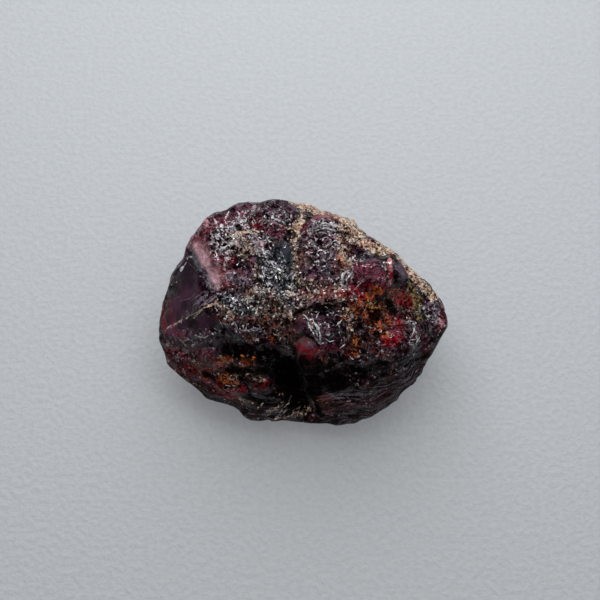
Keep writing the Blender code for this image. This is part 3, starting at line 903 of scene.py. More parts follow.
def carve_chips(skin, carving):
    """Chips of two sizes over the broken skin, and the layers around the foot."""
    points = skin.points - HEART
    broken = (1 - skin.masks["glass"]) * (1 - 0.8 * skin.masks["smooth"])
    size = carving.chip_size / MM
    swell = carving.swell / MM * rough_noise(points, 3.0, 3, 10)
    large = cells_of(points, size, 20)
    small = cells_of(points + 0.15 * large.random, size * 0.5, 40)
    tilt = carving.chip_tilt
    height = swell + tilt * np.sum(large.gap * (large.random - 0.5) * 2, axis=1)
    height = height + tilt * 0.8 * np.sum(small.gap * (small.random - 0.5) * 2, axis=1)
    height = height - SEAM_DEPTH * smooth_step(0.16, 0.0, large.wall)
    height = height + LUMP_HEIGHT * rough_noise(points, 1.3, 2, 60)
    layers = layer_mask(points, skin.normals)
    wavy = points[:, 2] + 0.12 * points[:, 0] + 0.35 * rough_noise(points, 5.0, 2, 90)
    step = carving.layer_step / MM
    phase = (wavy / step) % 1.0
    height = height * (1 - 0.65 * layers) + layers * LAYER_HEIGHT * (smooth_step(0.0, 0.75, phase) - phase)
    height = height + layers * LAYER_LIP * (smooth_step(0.0, 0.3, phase) * smooth_step(1.0, 0.7, phase))
    skin.masks["layers"] = layers
    height = np.where(height > 0, BUILT_SHARE * height, CUT_SHARE * height) * broken
    skin.raise_by(height)
    return height


def layer_mask(points, normals):
    """Where the thin layers show: the lower flank, and most of the underside's skirt."""
    low = smooth_step(3.0, -1.5, points[:, 2] + 0.9 * rough_noise(points, 3.0, 2, 95))
    steep = smooth_step(0.75, 0.45, np.abs(normals[:, 2]))
    right = smooth_step(-3.0, 2.0, points[:, 0] + 2.0 * soft_noise(points, 4.0, 96))
    return low * steep * (0.35 + 0.65 * right)


# Curved growth steps on the upper knob: where they are, what they curve round, and their size in mm.
RIPPLED_KNOB, RIPPLE_MIDDLE = (333, 229), (336, 254)
RIPPLE_HEIGHT, RIPPLE_SPACING = 0.10, 0.62
# Faint shell-like waves across the smooth breaks.
SHELL_MIDDLE = (166, 342)
SHELL_HEIGHT, SHELL_SPACING = 0.006, 1.3


def carve_ripples(skin, surface):
    """The growth steps on the upper knob, and the faint waves across the smooth breaks."""
    knob, middle = surface.place(*RIPPLED_KNOB), surface.place(*RIPPLE_MIDDLE)
    near = smooth_step(2.6, 1.4, np.linalg.norm(skin.points - knob, axis=1))
    from_middle = np.linalg.norm(skin.points - middle, axis=1)
    ripple = RIPPLE_HEIGHT * np.abs(np.sin(math.pi * from_middle / RIPPLE_SPACING)) * near
    focus = surface.place(*SHELL_MIDDLE)
    shell = np.linalg.norm(skin.points - focus, axis=1) + 0.2 * soft_noise(skin.points, 2.0, 97)
    faint = SHELL_HEIGHT * np.sin(2 * math.pi * shell / SHELL_SPACING) * skin.masks["glass"]
    skin.raise_by(ripple + faint)


def paint_stains(skin, surface, minerals):
    """A mask for each of the minerals, from the places listed above."""
    ragged = rough_noise(skin.points, 1.1, 3, 110)
    for mineral in minerals:
        mask = np.zeros(len(skin.points))
        for stain in STAINS[mineral]:
            path = [surface.place(*place) for place in stain.path]
            reach = distance_to_path(skin.points, path) / stain.width + 0.45 * ragged
            mask = np.maximum(mask, stain.strength * smooth_step(1.7, 0.35, reach))
        skin.masks[mineral] = mask


# The minerals' patches round the back, with patches of painted shade and painted glints among them: their
# size in mm, and the noise level above which they show.
SCATTERED = {
    "crust": (2.6, 0.24),
    "mica": (3.1, 0.28),
    "iron": (3.4, 0.38),
    "crimson": (2.4, 0.34),
    "rose": (3.6, 0.46),
    "olive": (3.8, 0.50),
    "glint": (2.4, 0.16),
    "wine": (4.0, 0.0),
    "slate": (4.4, 0.2),
    "umber": (3.7, 0.05),
    "cherry": (2.2, 0.46),
    # painted shade: dead black patches scattered at random round the back
    "shade": (3.2, 0.5),
    "plum": (4.6, -0.1),
}


def scatter_minerals(skin):
    """Patches that carry the same minerals round the back."""
    seen = camera_side(skin)
    for number, (mineral, (size, level)) in enumerate(SCATTERED.items()):
        patch = rough_noise(skin.points, size, 3, 130 + 7 * number)
        behind = 0.85 * smooth_step(level, level + 0.35, patch) * (1 - seen)
        if mineral != "crust":
            behind = behind * (1 - skin.masks["crust"])
        skin.masks[mineral] = np.maximum(skin.masks[mineral], behind)


def paint_warmth(skin):
    """How red-brown the stained skin is: strong on the lower flanks, gone on the crown."""
    level = skin.points[:, 2] + 1.2 * rough_noise(skin.points, 4.0, 2, 210)
    skin.masks["warm"] = smooth_step(12.5, 9.0, level)


def camera_side(skin):
    """1 where the marks above say what the skin carries, falling to 0 round the back and below."""
    _, _, back = camera_axes(bpy.context.scene.garnet_stage)
    facing = skin.blurred(skin.normals @ np.array(back), 30)
    return smooth_step(-0.05, 0.25, facing)


def paint_recess_shade(skin, height):
    """How deep each point lies under its neighbours, from 0 to 1: where shade is painted into the recesses.
    """
    depth = skin.blurred(height, 14) - height
    skin.masks["recess"] = smooth_step(0.02, 0.30, depth)


def crystal_skin(context):
    """The carved and painted skin, in mm."""
    carving, stage = context.scene.garnet_carving, context.scene.garnet_stage
    skin = Skin(fine_skin(carving))
    surface = Surface(stage, skin.points, skin.faces)
    paint_stains(skin, surface, FINISHES)
    skin.masks["glass"] = mark_breaks(skin)
    carve_marks(skin, surface)
    height = carve_chips(skin, carving)
    surface = Surface(stage, skin.points, skin.faces)
    carve_ripples(skin, surface)
    paint_stains(skin, surface, MINERALS)
    scatter_minerals(skin)
    paint_warmth(skin)
    paint_recess_shade(skin, height)
    skin.settle()
    return skin


def write_masks(mesh, masks):
    for name, values in masks.items():
        layer = mesh.attributes.new(name, "FLOAT", "POINT")
        layer.data.foreach_set("value", values.astype(np.float32))


# ---------------------------------------------------------------- small pieces set into the skin


class Pieces:
    """Many small closed shapes, gathered into one mesh, each with a tone of its own."""

    def __init__(self):
        self.points, self.faces, self.tones = [], [], []
        self.count = 0

    def add(self, points, faces, tone):
        """Adds one shape: its points in mm, its faces, and its tone from 0 to 1."""
        self.points.append(np.asarray(points))
        self.faces += [[corner + self.count for corner in face] for face in faces]
        self.tones += [tone] * len(points)
        self.count += len(points)

    def build(self, context, name, material):
        points = np.concatenate(self.points)
        points[:, 2] = np.maximum(points[:, 2], 0)
        mesh = bpy.data.meshes.new(name)
        mesh.from_pydata((points * MM).tolist(), [], self.faces)
        tones = mesh.attributes.new("tone", "FLOAT", "POINT")
        tones.data.foreach_set("value", np.array(self.tones, dtype=np.float32))
        mesh.materials.append(material)
        piece = bpy.data.objects.new(name, mesh)
        context.scene.collection.objects.link(piece)
        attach(piece, "root")
        return piece


def frame_on(normal, turn):
    """Two directions along the skin and one out of it, turned by an angle."""
    side = np.cross(normal, (0.31, 0.22, 0.92))
    side = side / np.linalg.norm(side)
    other = np.cross(normal, side)
    return np.stack((math.cos(turn) * side + math.sin(turn) * other,
                     math.cos(turn) * other - math.sin(turn) * side, normal))


def add_splinter(pieces, spots, width, tone):
    """A blade along the spots, pointed at both ends, with a ridge on top."""
    points, faces = [], []
    count = len(spots)
    places = np.array([spot[0] for spot in spots])
    runs = np.gradient(places, axis=0)
    for number, (place, normal) in enumerate(spots):
        run = runs[number] / (np.linalg.norm(runs[number]) + 1e-9)
        side = np.cross(normal, run)
        own = hashed(np.round(place / 0.01).astype(np.int64)[None], 77)[0]
        taper = max(0.1, math.sin(math.pi * (number + 0.35) / (count - 0.3))) ** 0.7
        thick = width * (0.45 + 1.1 * own) * taper
        points.append(place - side * thick / 2 - normal * BLADE_ROOT)
        points.append(place + side * thick / 2 - normal * BLADE_ROOT)
        points.append(place + side * thick * 0.15 + normal * thick * 0.35)
    for number in range(count - 1):
        near, far = 3 * number, 3 * number + 3
        for first, second in ((0, 1), (1, 2), (2, 0)):
            faces.append((near + first, near + second, far + second, far + first))
    last = 3 * count - 3
    faces += [(2, 1, 0), (last, last + 1, last + 2)]
    pieces.add(points, faces, tone)


def along_path(path, count_for):
    """Evenly spaced places along a path in the picture, as many as count_for gives for its length."""
    path = np.array(path, dtype=float)
    lengths = np.linalg.norm(np.diff(path, axis=0), axis=1)
    along = np.concatenate(([0.0], np.cumsum(lengths)))
    at = np.linspace(0, along[-1], count_for(along[-1]))
    return np.stack((np.interp(at, along, path[:, 0]), np.interp(at, along, path[:, 1])), axis=1)


def path_spots(surface, path, spacing=2.2):
    """Spots on the skin along a path in the picture, closely spaced."""
    places = along_path(path, lambda length: max(4, int(length / spacing) + 1))
    return [surface.spot(across, down) for across, down in places]


def lay_stroke(pieces, surface, stroke):
    """A stroke as a chain of short blades, each a little off the line, with its own width and tone."""
    line = along_path(stroke.path, lambda length: max(2, int(round(length / BLADE_RUN)) + 1))
    for number, (start, end) in enumerate(zip(line[:-1], line[1:])):
        own = np.round(np.array((*start, *end, number))).astype(np.int64)
        draw = [hashed(own[:3][None] + step, 510)[0] - 0.5 for step in range(8)]
        first = start + np.array(draw[0:2]) * 2.6
        last = end + np.array(draw[2:4]) * 2.6
        bend = (start + end) / 2 + np.array(draw[4:6]) * 2.4
        width = stroke.width * BLADE_WIDENING * (1.0 + 0.9 * draw[6])
        add_splinter(pieces, path_spots(surface, (first, bend, last), 1.4), width, 0.62 + 0.75 * draw[7])


def scattered_points(skin, chance, salt):
    """The numbers of the skin's points that are drawn, each with its own chance from 0 to 1."""
    cells = np.round(skin.points / 0.01).astype(np.int64)
    return np.nonzero(hashed(cells, salt) < chance)[0]


def lay_splinters(pieces, skin, surface, chance, salt, length, width):
    """Short splinters drawn at random over the skin, in bundles that lie one way."""
    for number in scattered_points(skin, chance, salt):
        place, normal = skin.points[number], skin.normals[number]
        cell = np.floor(place / 0.7).astype(np.int64)[None]
        own = np.round(place / 0.01).astype(np.int64)[None]
        turn = 2 * math.pi * hashed(cell, salt + 1)[0] + 0.6 * hashed(own, salt + 2)[0]
        axes = frame_on(normal, turn)
        long = length * (0.5 + hashed(own, salt + 3)[0])
        spots = [surface.nearest(place + axes[0] * long * step) for step in (-0.5, -0.2, 0.1, 0.5)]
        add_splinter(pieces, spots, width * (0.6 + 0.8 * hashed(own, salt + 4)[0]), hashed(own, salt + 5)[0])


def grain_shape():
    """A unit ball of twenty faces."""
    ball = bmesh.new()
    bmesh.ops.create_icosphere(ball, subdivisions=1, radius=1.0)
    points = np.array([tuple(vert.co) for vert in ball.verts])
    faces = [[vert.index for vert in face.verts] for face in ball.faces]
    ball.free()
    return points, faces


def lay_grains(pieces, skin, chance, salt, size, flatness, sunk):
    """Irregular grains drawn at random over the skin."""
    ball, faces = grain_shape()
    for number in scattered_points(skin, chance, salt):
        place, normal = skin.points[number], skin.normals[number]
        own = np.round(place / 0.01).astype(np.int64)[None]
        draw = [hashed(own, salt + 1 + step)[0] for step in range(6)]
        axes = frame_on(normal, 2 * math.pi * draw[0])
        radius = size * (0.4 + 1.1 * draw[1] ** 2)
        stretch = np.array((1.0 + 0.5 * draw[2], 0.75, flatness * (0.7 + 0.6 * draw[3]))) * radius
        rough = 1 + 0.28 * (hashed(np.round(ball * 100).astype(np.int64) + number, salt + 9) - 0.5)
        points = (ball * rough[:, None] * stretch) @ axes + place - normal * radius * sunk
        pieces.add(points, faces, draw[4])


# ---------------------------------------------------------------- shader building

# How the nodes are spread out in the editor: rows, and the steps across and down.
NODE_ROWS, NODE_ACROSS, NODE_DOWN = 7, 60, 160


class Nodes:
    """A node tree that is built left to right, with short calls."""

    def __init__(self, tree):
        self.tree = tree
        self.count = 0

    def give(self, socket, value):
        """Joins an output to a socket, or sets the socket to a plain value."""
        if isinstance(value, bpy.types.NodeSocket):
            self.tree.links.new(value, socket)
        elif socket.type == "RGBA":
            socket.default_value = (*value, 1.0)
        else:
            socket.default_value = value

    def add(self, kind, *links, **settings):
        """Adds a node. links are (socket, value or output) pairs, and settings are the node's own."""
        node = self.tree.nodes.new(kind)
        node.location = (self.count * NODE_ACROSS, -(self.count % NODE_ROWS) * NODE_DOWN)
        self.count += 1
        for name, value in settings.items():
            setattr(node, name, value)
        for socket, value in links:
            self.give(node.inputs[socket], value)
        return node

    def math(self, operation, first, second=0.0, clamp=False):
        node = self.add("ShaderNodeMath", (0, first), (1, second), operation=operation, use_clamp=clamp)
        return node.outputs[0]

    def plus(self, first, second):
        return self.math("ADD", first, second)

    def minus(self, first, second):
        return self.math("SUBTRACT", first, second)

    def times(self, first, *others):
        for other in others:
            first = self.math("MULTIPLY", first, other)
        return first

    def larger(self, first, second):
        return self.math("MAXIMUM", first, second)

    def inverse(self, value):
        return self.math("DIVIDE", 1.0, value)

    def without(self, value):
        """What a mask leaves over: 1 less the mask."""
        return self.math("SUBTRACT", 1.0, value)

    def vector(self, operation, first, second, output=0):
        node = self.add("ShaderNodeVectorMath", (0, first), (1, second), operation=operation)
        return node.outputs[output]

    def scaled(self, vector, scale):
        node = self.add("ShaderNodeVectorMath", (0, vector), ("Scale", scale), operation="SCALE")
        return node.outputs[0]

    def along_axes(self, x, y, z):
        return self.add("ShaderNodeCombineXYZ", (0, x), (1, y), (2, z)).outputs[0]

    def step(self, value, low, high, to_low=0.0, to_high=1.0):
        node = self.add(
            "ShaderNodeMapRange", ("Value", value), ("From Min", low), ("From Max", high),
            ("To Min", to_low), ("To Max", to_high), interpolation_type="SMOOTHSTEP",
        )
        return node.outputs["Result"]

    def mix(self, factor, first, second):
        node = self.add("ShaderNodeMix", (0, factor), (6, first), (7, second), data_type="RGBA")
        return node.outputs[2]

    def blend_value(self, factor, first, second):
        node = self.add("ShaderNodeMix", (0, factor), (2, first), (3, second), data_type="FLOAT")
        return node.outputs[0]

    def mask(self, name):
        return self.add("ShaderNodeAttribute", attribute_name=name).outputs["Fac"]

    def noise(self, place, scale, **more):
        """Cloudy noise: its outputs. What isn't given stays at the node's own setting."""
        links = [(label.capitalize(), value) for label, value in more.items()]
        return self.add("ShaderNodeTexNoise", ("Vector", place), ("Scale", scale), *links).outputs

    def cells(self, place, scale=1.0, feature="F1"):
        node = self.add("ShaderNodeTexVoronoi", ("Vector", place), ("Scale", scale), feature=feature)
        return node.outputs

    def bump(self, height, strength=1.0):
        """A normal from a height in mm."""
        node = self.add("ShaderNodeBump", ("Strength", strength), ("Distance", MM), ("Height", height))
        return node.outputs[0]

    def group(self, name, place, **inputs):
        """Places one of the groups below: its outputs."""
        links = [(label.capitalize(), value) for label, value in inputs.items()]
        tree = bpy.data.node_groups[name]
        return self.add("ShaderNodeGroup", ("Place", place), *links, node_tree=tree).outputs


def new_group(name, inputs, outputs):
    """A group that takes a place and numbers: its nodes, its inputs, and a function that sets an output."""
    tree = bpy.data.node_groups.new(name, "ShaderNodeTree")
    tree.interface.new_socket("Place", in_out="INPUT", socket_type="NodeSocketVector")
    for label, default in inputs.items():
        socket = tree.interface.new_socket(label, in_out="INPUT", socket_type="NodeSocketFloat")
        socket.default_value = default
    for label in outputs:
        tree.interface.new_socket(label, in_out="OUTPUT", socket_type="NodeSocketFloat")
    nodes = Nodes(tree)
    entry = nodes.add("NodeGroupInput").outputs
    leave = tree.nodes.new("NodeGroupOutput")

    def give(label, output):
        tree.links.new(output, leave.inputs[label])

    return nodes, entry, give


def leaning_cells(nodes, place, size, tilt):
    """Cells that each lean their own way: three random numbers for each, and a height in mm for bump."""
    cell = nodes.cells(place)
    gap = nodes.vector("SUBTRACT", place, cell["Position"])
    lean = nodes.vector("SUBTRACT", cell["Color"], (0.5, 0.5, 0.5))
    slope = nodes.vector("DOT_PRODUCT", gap, lean, output=1)
    random = nodes.add("ShaderNodeSeparateColor", (0, cell["Color"])).outputs
    return random, nodes.times(slope, tilt, size)


def build_facets_group():
    """Flat facets of one size: a height in mm for bump, and a tone and a spark for each."""
    nodes, entry, give = new_group("Facets", {"Size": 0.5, "Tilt": 0.5}, ("Height", "Tone", "Spark"))
    place = nodes.scaled(entry["Place"], nodes.inverse(entry["Size"]))
    random, height = leaning_cells(nodes, place, entry["Size"], entry["Tilt"])
    give("Height", height)
    give("Tone", random[0])
    give("Spark", random[2])


def build_splinters_group():
    """Bundles of long splinters, each bundle turned its own way: height in mm, tone, and pale edge lines."""
    nodes, entry, give = new_group(
        "Splinters", {"Size": 0.3, "Bundle": 2.2, "Tilt": 0.6, "Stretch": 5.0}, ("Height", "Tone", "Line")
    )
    bundle = nodes.cells(entry["Place"], nodes.inverse(entry["Bundle"]))["Color"]
    angles = nodes.scaled(bundle, 2 * math.pi)
    turned = nodes.add(
        "ShaderNodeVectorRotate", ("Vector", entry["Place"]), ("Rotation", angles), rotation_type="EULER_XYZ"
    ).outputs[0]
    warp = nodes.noise(entry["Place"], 1.1)["Color"]
    turned = nodes.vector("ADD", turned, nodes.scaled(warp, 0.5))
    axes = nodes.along_axes(1.0, nodes.inverse(entry["Stretch"]), 0.6)
    stretched = nodes.vector("MULTIPLY", turned, axes)
    place = nodes.scaled(stretched, nodes.inverse(entry["Size"]))
    random, height = leaning_cells(nodes, place, entry["Size"], entry["Tilt"])
    edge = nodes.cells(place, feature="DISTANCE_TO_EDGE")["Distance"]
    give("Height", height)
    give("Tone", random[1])
    give("Line", nodes.step(edge, 0.13, 0.03))


def build_patch_group():
    """A ragged patch: a painted mask broken up by grain, with a soft or a crisp edge."""
    nodes, entry, give = new_group(
        "Patch", {"Mask": 0.0, "Grain": 0.5, "Raggedness": 0.8, "Softness": 0.15}, ("Cover",)
    )
    scale = nodes.inverse(entry["Grain"])
    grain = nodes.noise(entry["Place"], scale, detail=3.0, roughness=0.6)["Fac"]
    swing = nodes.times(nodes.minus(grain, 0.5), entry["Raggedness"], 2.0)
    level = nodes.plus(entry["Mask"], swing)
    low = nodes.minus(0.5, entry["Softness"])
    high = nodes.plus(0.5, entry["Softness"])
    give("Cover", nodes.times(nodes.step(level, low, high), nodes.step(entry["Mask"], 0.0, 0.15)))


def build_curls_group():
    """Fine broken curls, like light on crinkled glass: a cover and a height in mm for bump."""
    nodes, entry, give = new_group(
        "Curls", {"Size": 0.5, "Width": 0.04, "Density": 0.5}, ("Cover", "Height")
    )
    scale = nodes.inverse(entry["Size"])
    field = nodes.noise(entry["Place"], scale, detail=1.0, distortion=0.6)["Fac"]
    off = nodes.math("ABSOLUTE", nodes.minus(field, 0.5))
    line = nodes.step(nodes.math("DIVIDE", off, entry["Width"]), 1.0, 0.4)
    elsewhere = nodes.vector("ADD", entry["Place"], (31.0, 17.0, 5.0))
    gaps = nodes.noise(elsewhere, scale, detail=2.0)["Fac"]
    least = nodes.minus(0.68, nodes.times(entry["Density"], 0.28))
    there = nodes.step(nodes.minus(gaps, least), -0.01, 0.04)
    cover = nodes.times(line, there)
    give("Cover", cover)
    give("Height", nodes.times(cover, nodes.times(entry["Size"], 0.12)))


def build_crumbs_group():
    """Irregular crumbs, as close as the density says: cover, tone, kind, and a height in mm for bump."""
    nodes, entry, give = new_group(
        "Crumbs", {"Size": 0.3, "Density": 0.5}, ("Cover", "Tone", "Kind", "Height")
    )
    field = nodes.noise(entry["Place"], nodes.inverse(entry["Size"]), detail=2.0, distortion=0.4)
    least = nodes.minus(0.72, nodes.times(entry["Density"], 0.30))
    over = nodes.minus(field["Fac"], least)
    cover = nodes.times(nodes.step(over, -0.005, 0.03), nodes.step(entry["Density"], 0.0, 0.1))
    random = nodes.add("ShaderNodeSeparateColor", (0, field["Color"])).outputs
    give("Cover", cover)
    give("Tone", nodes.step(random[1], 0.35, 0.65))
    give("Kind", nodes.step(random[2], 0.4, 0.6))
    give("Height", nodes.times(cover, entry["Size"], 0.25))


def build_laminae_group():
    """Thin level layers seen edge on: pale lines, and a height in mm for bump."""
    nodes, entry, give = new_group("Laminae", {"Spacing": 0.3, "Length": 3.0}, ("Line", "Height"))
    sway = nodes.noise(entry["Place"], 0.25, detail=1.0)["Fac"]
    shift = nodes.along_axes(0.0, 0.0, nodes.times(nodes.minus(sway, 0.5), 3.0))
    along, across = nodes.inverse(entry["Length"]), nodes.inverse(entry["Spacing"])
    place = nodes.vector("ADD", entry["Place"], shift)
    place = nodes.vector("MULTIPLY", place, nodes.along_axes(along, along, across))
    field = nodes.noise(place, 1.0, detail=2.5)["Fac"]
    give("Line", nodes.step(field, 0.51, 0.58))
    give("Height", nodes.times(field, entry["Spacing"], 0.5))


def new_material(name, settings):
    """A material with its own settings: its nodes, its Principled BSDF, and places on the surface in mm."""
    material = bpy.data.materials.new(name)
    material.use_nodes = True
    nodes = Nodes(material.node_tree)
    surface = material.node_tree.nodes["Principled BSDF"]
    for label, value in settings.items():
        surface.inputs[label].default_value = value
    place = nodes.scaled(nodes.add("ShaderNodeTexCoord").outputs["Object"], 1 / MM)
    return material, nodes, surface, place


def connect(nodes, surface, colour, roughness, normal, coat=None):
    nodes.give(surface.inputs["Base Color"], colour)
    nodes.give(surface.inputs["Roughness"], roughness)
    nodes.give(surface.inputs["Normal"], normal)
    if coat is not None:
        nodes.give(surface.inputs["Coat Weight"], coat)


# A mineral's ground: the patch's grain in mm, its raggedness and softness, and how strongly it covers.
Ground = namedtuple("Ground", "mineral grain raggedness softness strength colour")


class GarnetFinish:
    """The crystal's finish: dark glassy garnet under frost, stain, mica and crust, with painted glints of
    light and painted shade, laid on layer by layer.
    """

    def __init__(self, colours):
        self.colours = colours
        self.material, self.nodes, self.surface, self.place = new_material(
            "garnet_skin",
            {"IOR": 1.45, "Specular IOR Level": 0.02, "Coat Roughness": 0.035, "Coat IOR": 1.55},
        )
        nodes, place = self.nodes, self.place
        self.fine = nodes.group("Facets", place, size=0.30, tilt=0.5)
        self.grit = nodes.group("Facets", place, size=0.14, tilt=0.4)
        self.middle = nodes.group("Facets", place, size=1.0, tilt=0.3)
        self.splinters = nodes.group("Splinters", place, size=0.32, bundle=2.4, tilt=0.9)
        self.dashes = nodes.group("Splinters", place, size=0.19, bundle=0.8, tilt=0.8, stretch=2.0)
        self.laminae = nodes.group("Laminae", place, spacing=0.24, length=2.2)
        self.recess, self.layers, self.glint = nodes.mask("recess"), nodes.mask("layers"), nodes.mask("glint")
        self.glass, self.crust, self.mica = nodes.mask("glass"), nodes.mask("crust"), nodes.mask("mica")
        self.warm = nodes.mask("warm")
        self.red = nodes.larger(nodes.mask("wine"), nodes.mask("crimson"))
        self.smooth = nodes.larger(self.glass, nodes.mask("smooth"))
        self.broken = nodes.without(nodes.times(self.smooth, 0.97))
        self.cloud = self.noise(0.45, 5.0)
        self.shade = self.patch("shade", 1.0, 0.5, 0.35)
        self.grains_and_curls()

    def noise(self, scale, detail):
        return self.nodes.noise(self.place, scale, detail=detail)["Fac"]

    def moved(self, offset):
        return self.nodes.vector("ADD", self.place, (offset, offset * 2, -offset))

    def patch(self, mineral, grain, raggedness, softness):
        return self.nodes.group(
            "Patch", self.place, mask=self.nodes.mask(mineral),
            grain=grain, raggedness=raggedness, softness=softness,
        )["Cover"]

    def grains_and_curls(self):
        """What lies on the skin in grains, and the curls of light painted on its fine edges."""
        nodes, group, times = self.nodes, self.nodes.group, self.nodes.times
        iron, olive = times(nodes.mask("iron"), 0.7), times(nodes.mask("olive"), 0.7)
        self.flakes = group("Crumbs", self.moved(3.0), size=0.24, density=times(self.mica, 0.4))
        self.rusty = group("Crumbs", self.moved(7.0), size=0.34, density=iron)
        self.mossy = group("Crumbs", self.moved(11.0), size=0.36, density=olive)
        patchy = nodes.step(self.noise(0.6, 2.0), 0.38, 0.58, 0.45, 1.0)
        self.crumbs = group("Crumbs", self.moved(17.0), size=0.30, density=times(self.crust, patchy))
        self.dusty = nodes.larger(self.crumbs["Cover"], self.rusty["Cover"])
        off_layers = nodes.without(times(self.layers, 0.8))
        self.stray = times(nodes.step(self.noise(0.7, 2.0), 0.5, 0.7), 0.3, off_layers)
        on_crust = nodes.plus(times(self.crust, 0.5), self.stray)
        self.creamy = group("Curls", self.moved(23.0), size=0.7, width=0.055, density=on_crust)
        on_splinters = nodes.plus(times(nodes.larger(self.glint, times(self.mica, 0.8)), 0.27), self.stray)
        self.lit = group("Curls", self.moved(29.0), size=0.8, width=0.06, density=on_splinters)

    def ground(self):
        """The garnet's own dark colour, under each mineral's ground and the dark layers of the foot, whose
        darkening is partly painted shade.
        """
        nodes, colours = self.nodes, self.colours
        body = nodes.mix(self.warm, srgb(64, 32, 46), srgb(62, 25, 23))
        colour = nodes.mix(nodes.step(self.cloud, 0.36, 0.62), colours.black, body)
        depths = nodes.mix(nodes.step(self.cloud, 0.4, 0.62), srgb(40, 16, 30), srgb(66, 34, 54))
        colour = nodes.mix(self.glass, colour, depths)
        grounds = (
            Ground("plum", 0.8, 0.5, 0.4, 0.9, colours.plum),
            Ground("umber", 0.6, 0.7, 0.35, 0.8, colours.umber),
            Ground("slate", 0.8, 0.5, 0.3, 0.9, colours.slate),
            Ground("wine", 0.8, 0.6, 0.4, 0.85, colours.wine),
            Ground("crimson", 0.6, 0.5, 0.4, 0.9, colours.crimson),
            Ground("cherry", 0.5, 0.5, 0.4, 0.9, colours.cherry),
            Ground("rose", 0.6, 0.3, 0.45, 0.95, colours.rose),
            # veil: frost, and painted sheen of reflected light
            Ground("veil", 0.5, 0.3, 0.3, 0.75, srgb(122, 114, 124)),
            Ground("olive", 0.5, 0.6, 0.35, 0.5, srgb(84, 72, 36)),
            Ground("iron", 0.5, 0.6, 0.35, 0.8, colours.rust),
            Ground("crust", 0.5, 0.8, 0.3, 0.85, srgb(204, 164, 136)),
        )
        for layer in grounds:
            cover = self.patch(layer.mineral, layer.grain, layer.raggedness, layer.softness)
            colour = nodes.mix(nodes.times(cover, layer.strength), colour, layer.colour)
        # the foot's layers darkened towards black: partly their own colour, partly painted shade on the lower
        # flanks
        return nodes.mix(nodes.times(self.layers, 0.75), colour, srgb(13, 6, 8))

    def chips(self, colour):
        """Each chip's own tone, and black pits among the chips."""
        nodes = self.nodes
        tone = nodes.times(
            nodes.step(self.middle["Tone"], 0.1, 0.9, 0.5, 1.35),
            nodes.step(self.fine["Tone"], 0.0, 1.0, 0.22, 1.95),
            nodes.step(self.grit["Tone"], 0.0, 1.0, 0.22, 1.9),
            nodes.step(self.splinters["Tone"], 0.0, 1.0, 0.5, 1.45),
        )
        tone = nodes.math("MINIMUM", tone, 2.6)
        tone = nodes.blend_value(self.broken, nodes.step(self.cloud, 0.3, 0.7, 0.8, 1.2), tone)
        pits = nodes.times(
            nodes.step(self.noise(2.4, 2.5), 0.485, 0.44),
            self.broken,
            nodes.step(self.red, 0.2, 0.9, 0.93, 0.4),
            nodes.step(self.crust, 0.3, 1.0, 1.0, 0.85),
        )
        return nodes.mix(pits, nodes.scaled(colour, tone), self.colours.black)

    def edges(self, colour):
        """Pale edges of the foot's layers, and dark gaps among the splinters."""
        nodes = self.nodes
        edges = nodes.times(self.laminae["Line"], nodes.times(self.layers, 0.9))
        edges = nodes.times(edges, nodes.step(self.grit["Spark"], 0.1, 0.9, 0.35, 1.0))
        pale_edge = nodes.mix(nodes.step(self.cloud, 0.4, 0.6), srgb(156, 140, 152), srgb(98, 76, 84))
        reddish = nodes.times(nodes.larger(nodes.mask("umber"), self.red), 0.6)
        colour = nodes.mix(edges, colour, nodes.mix(reddish, pale_edge, srgb(132, 66, 56)))
        splintered = nodes.times(self.broken, self.glint)
        gaps = nodes.times(nodes.step(self.noise(1.9, 2.0), 0.42, 0.55), splintered, 0.75)
        return nodes.mix(gaps, colour, self.colours.black)

    def grains(self, colour):
        """Mica flakes, rusty and mossy grains, and the crust's crumbs of four colours."""
        nodes, colours = self.nodes, self.colours
        colour = nodes.mix(nodes.times(self.flakes["Cover"], 0.7), colour, colours.silver)
        orange = nodes.mix(nodes.step(self.rusty["Tone"], 0.2, 0.8), colours.rust, colours.ochre)
        colour = nodes.mix(nodes.times(self.rusty["Cover"], 0.9), colour, orange)
        colour = nodes.mix(nodes.times(self.mossy["Cover"], 0.85), colour, colours.olive)
        drab = nodes.mix(self.crumbs["Tone"], srgb(150, 118, 100), colours.tan)
        bright = nodes.mix(self.crumbs["Tone"], srgb(208, 132, 80), srgb(255, 242, 224))
        crumb = nodes.mix(self.crumbs["Kind"], drab, bright)
        return nodes.mix(nodes.times(self.crumbs["Cover"], 0.9), colour, crumb)

    def lights(self, colour):
        """Cream curls on the crust, and painted highlights: lilac curls, short bright dashes and faint pale
        streaks that stand in for glints of light, dimmer and browner on the warm lower flanks.
        """
        nodes, colours = self.nodes, self.colours
        stain = nodes.mix(nodes.times(self.warm, 0.8), colours.tan, srgb(148, 84, 62))
        cream_cover = nodes.times(self.creamy["Cover"], self.broken, 0.9)
        colour = nodes.mix(cream_cover, colour, nodes.mix(self.crust, stain, colours.tan))
        dim = nodes.times(self.warm, nodes.math("SUBTRACT", 0.9, self.glint, clamp=True))
        glint_colour = nodes.mix(dim, colours.lilac, srgb(132, 86, 78))
        colour = nodes.mix(nodes.times(self.lit["Cover"], self.broken, 0.95), colour, glint_colour)

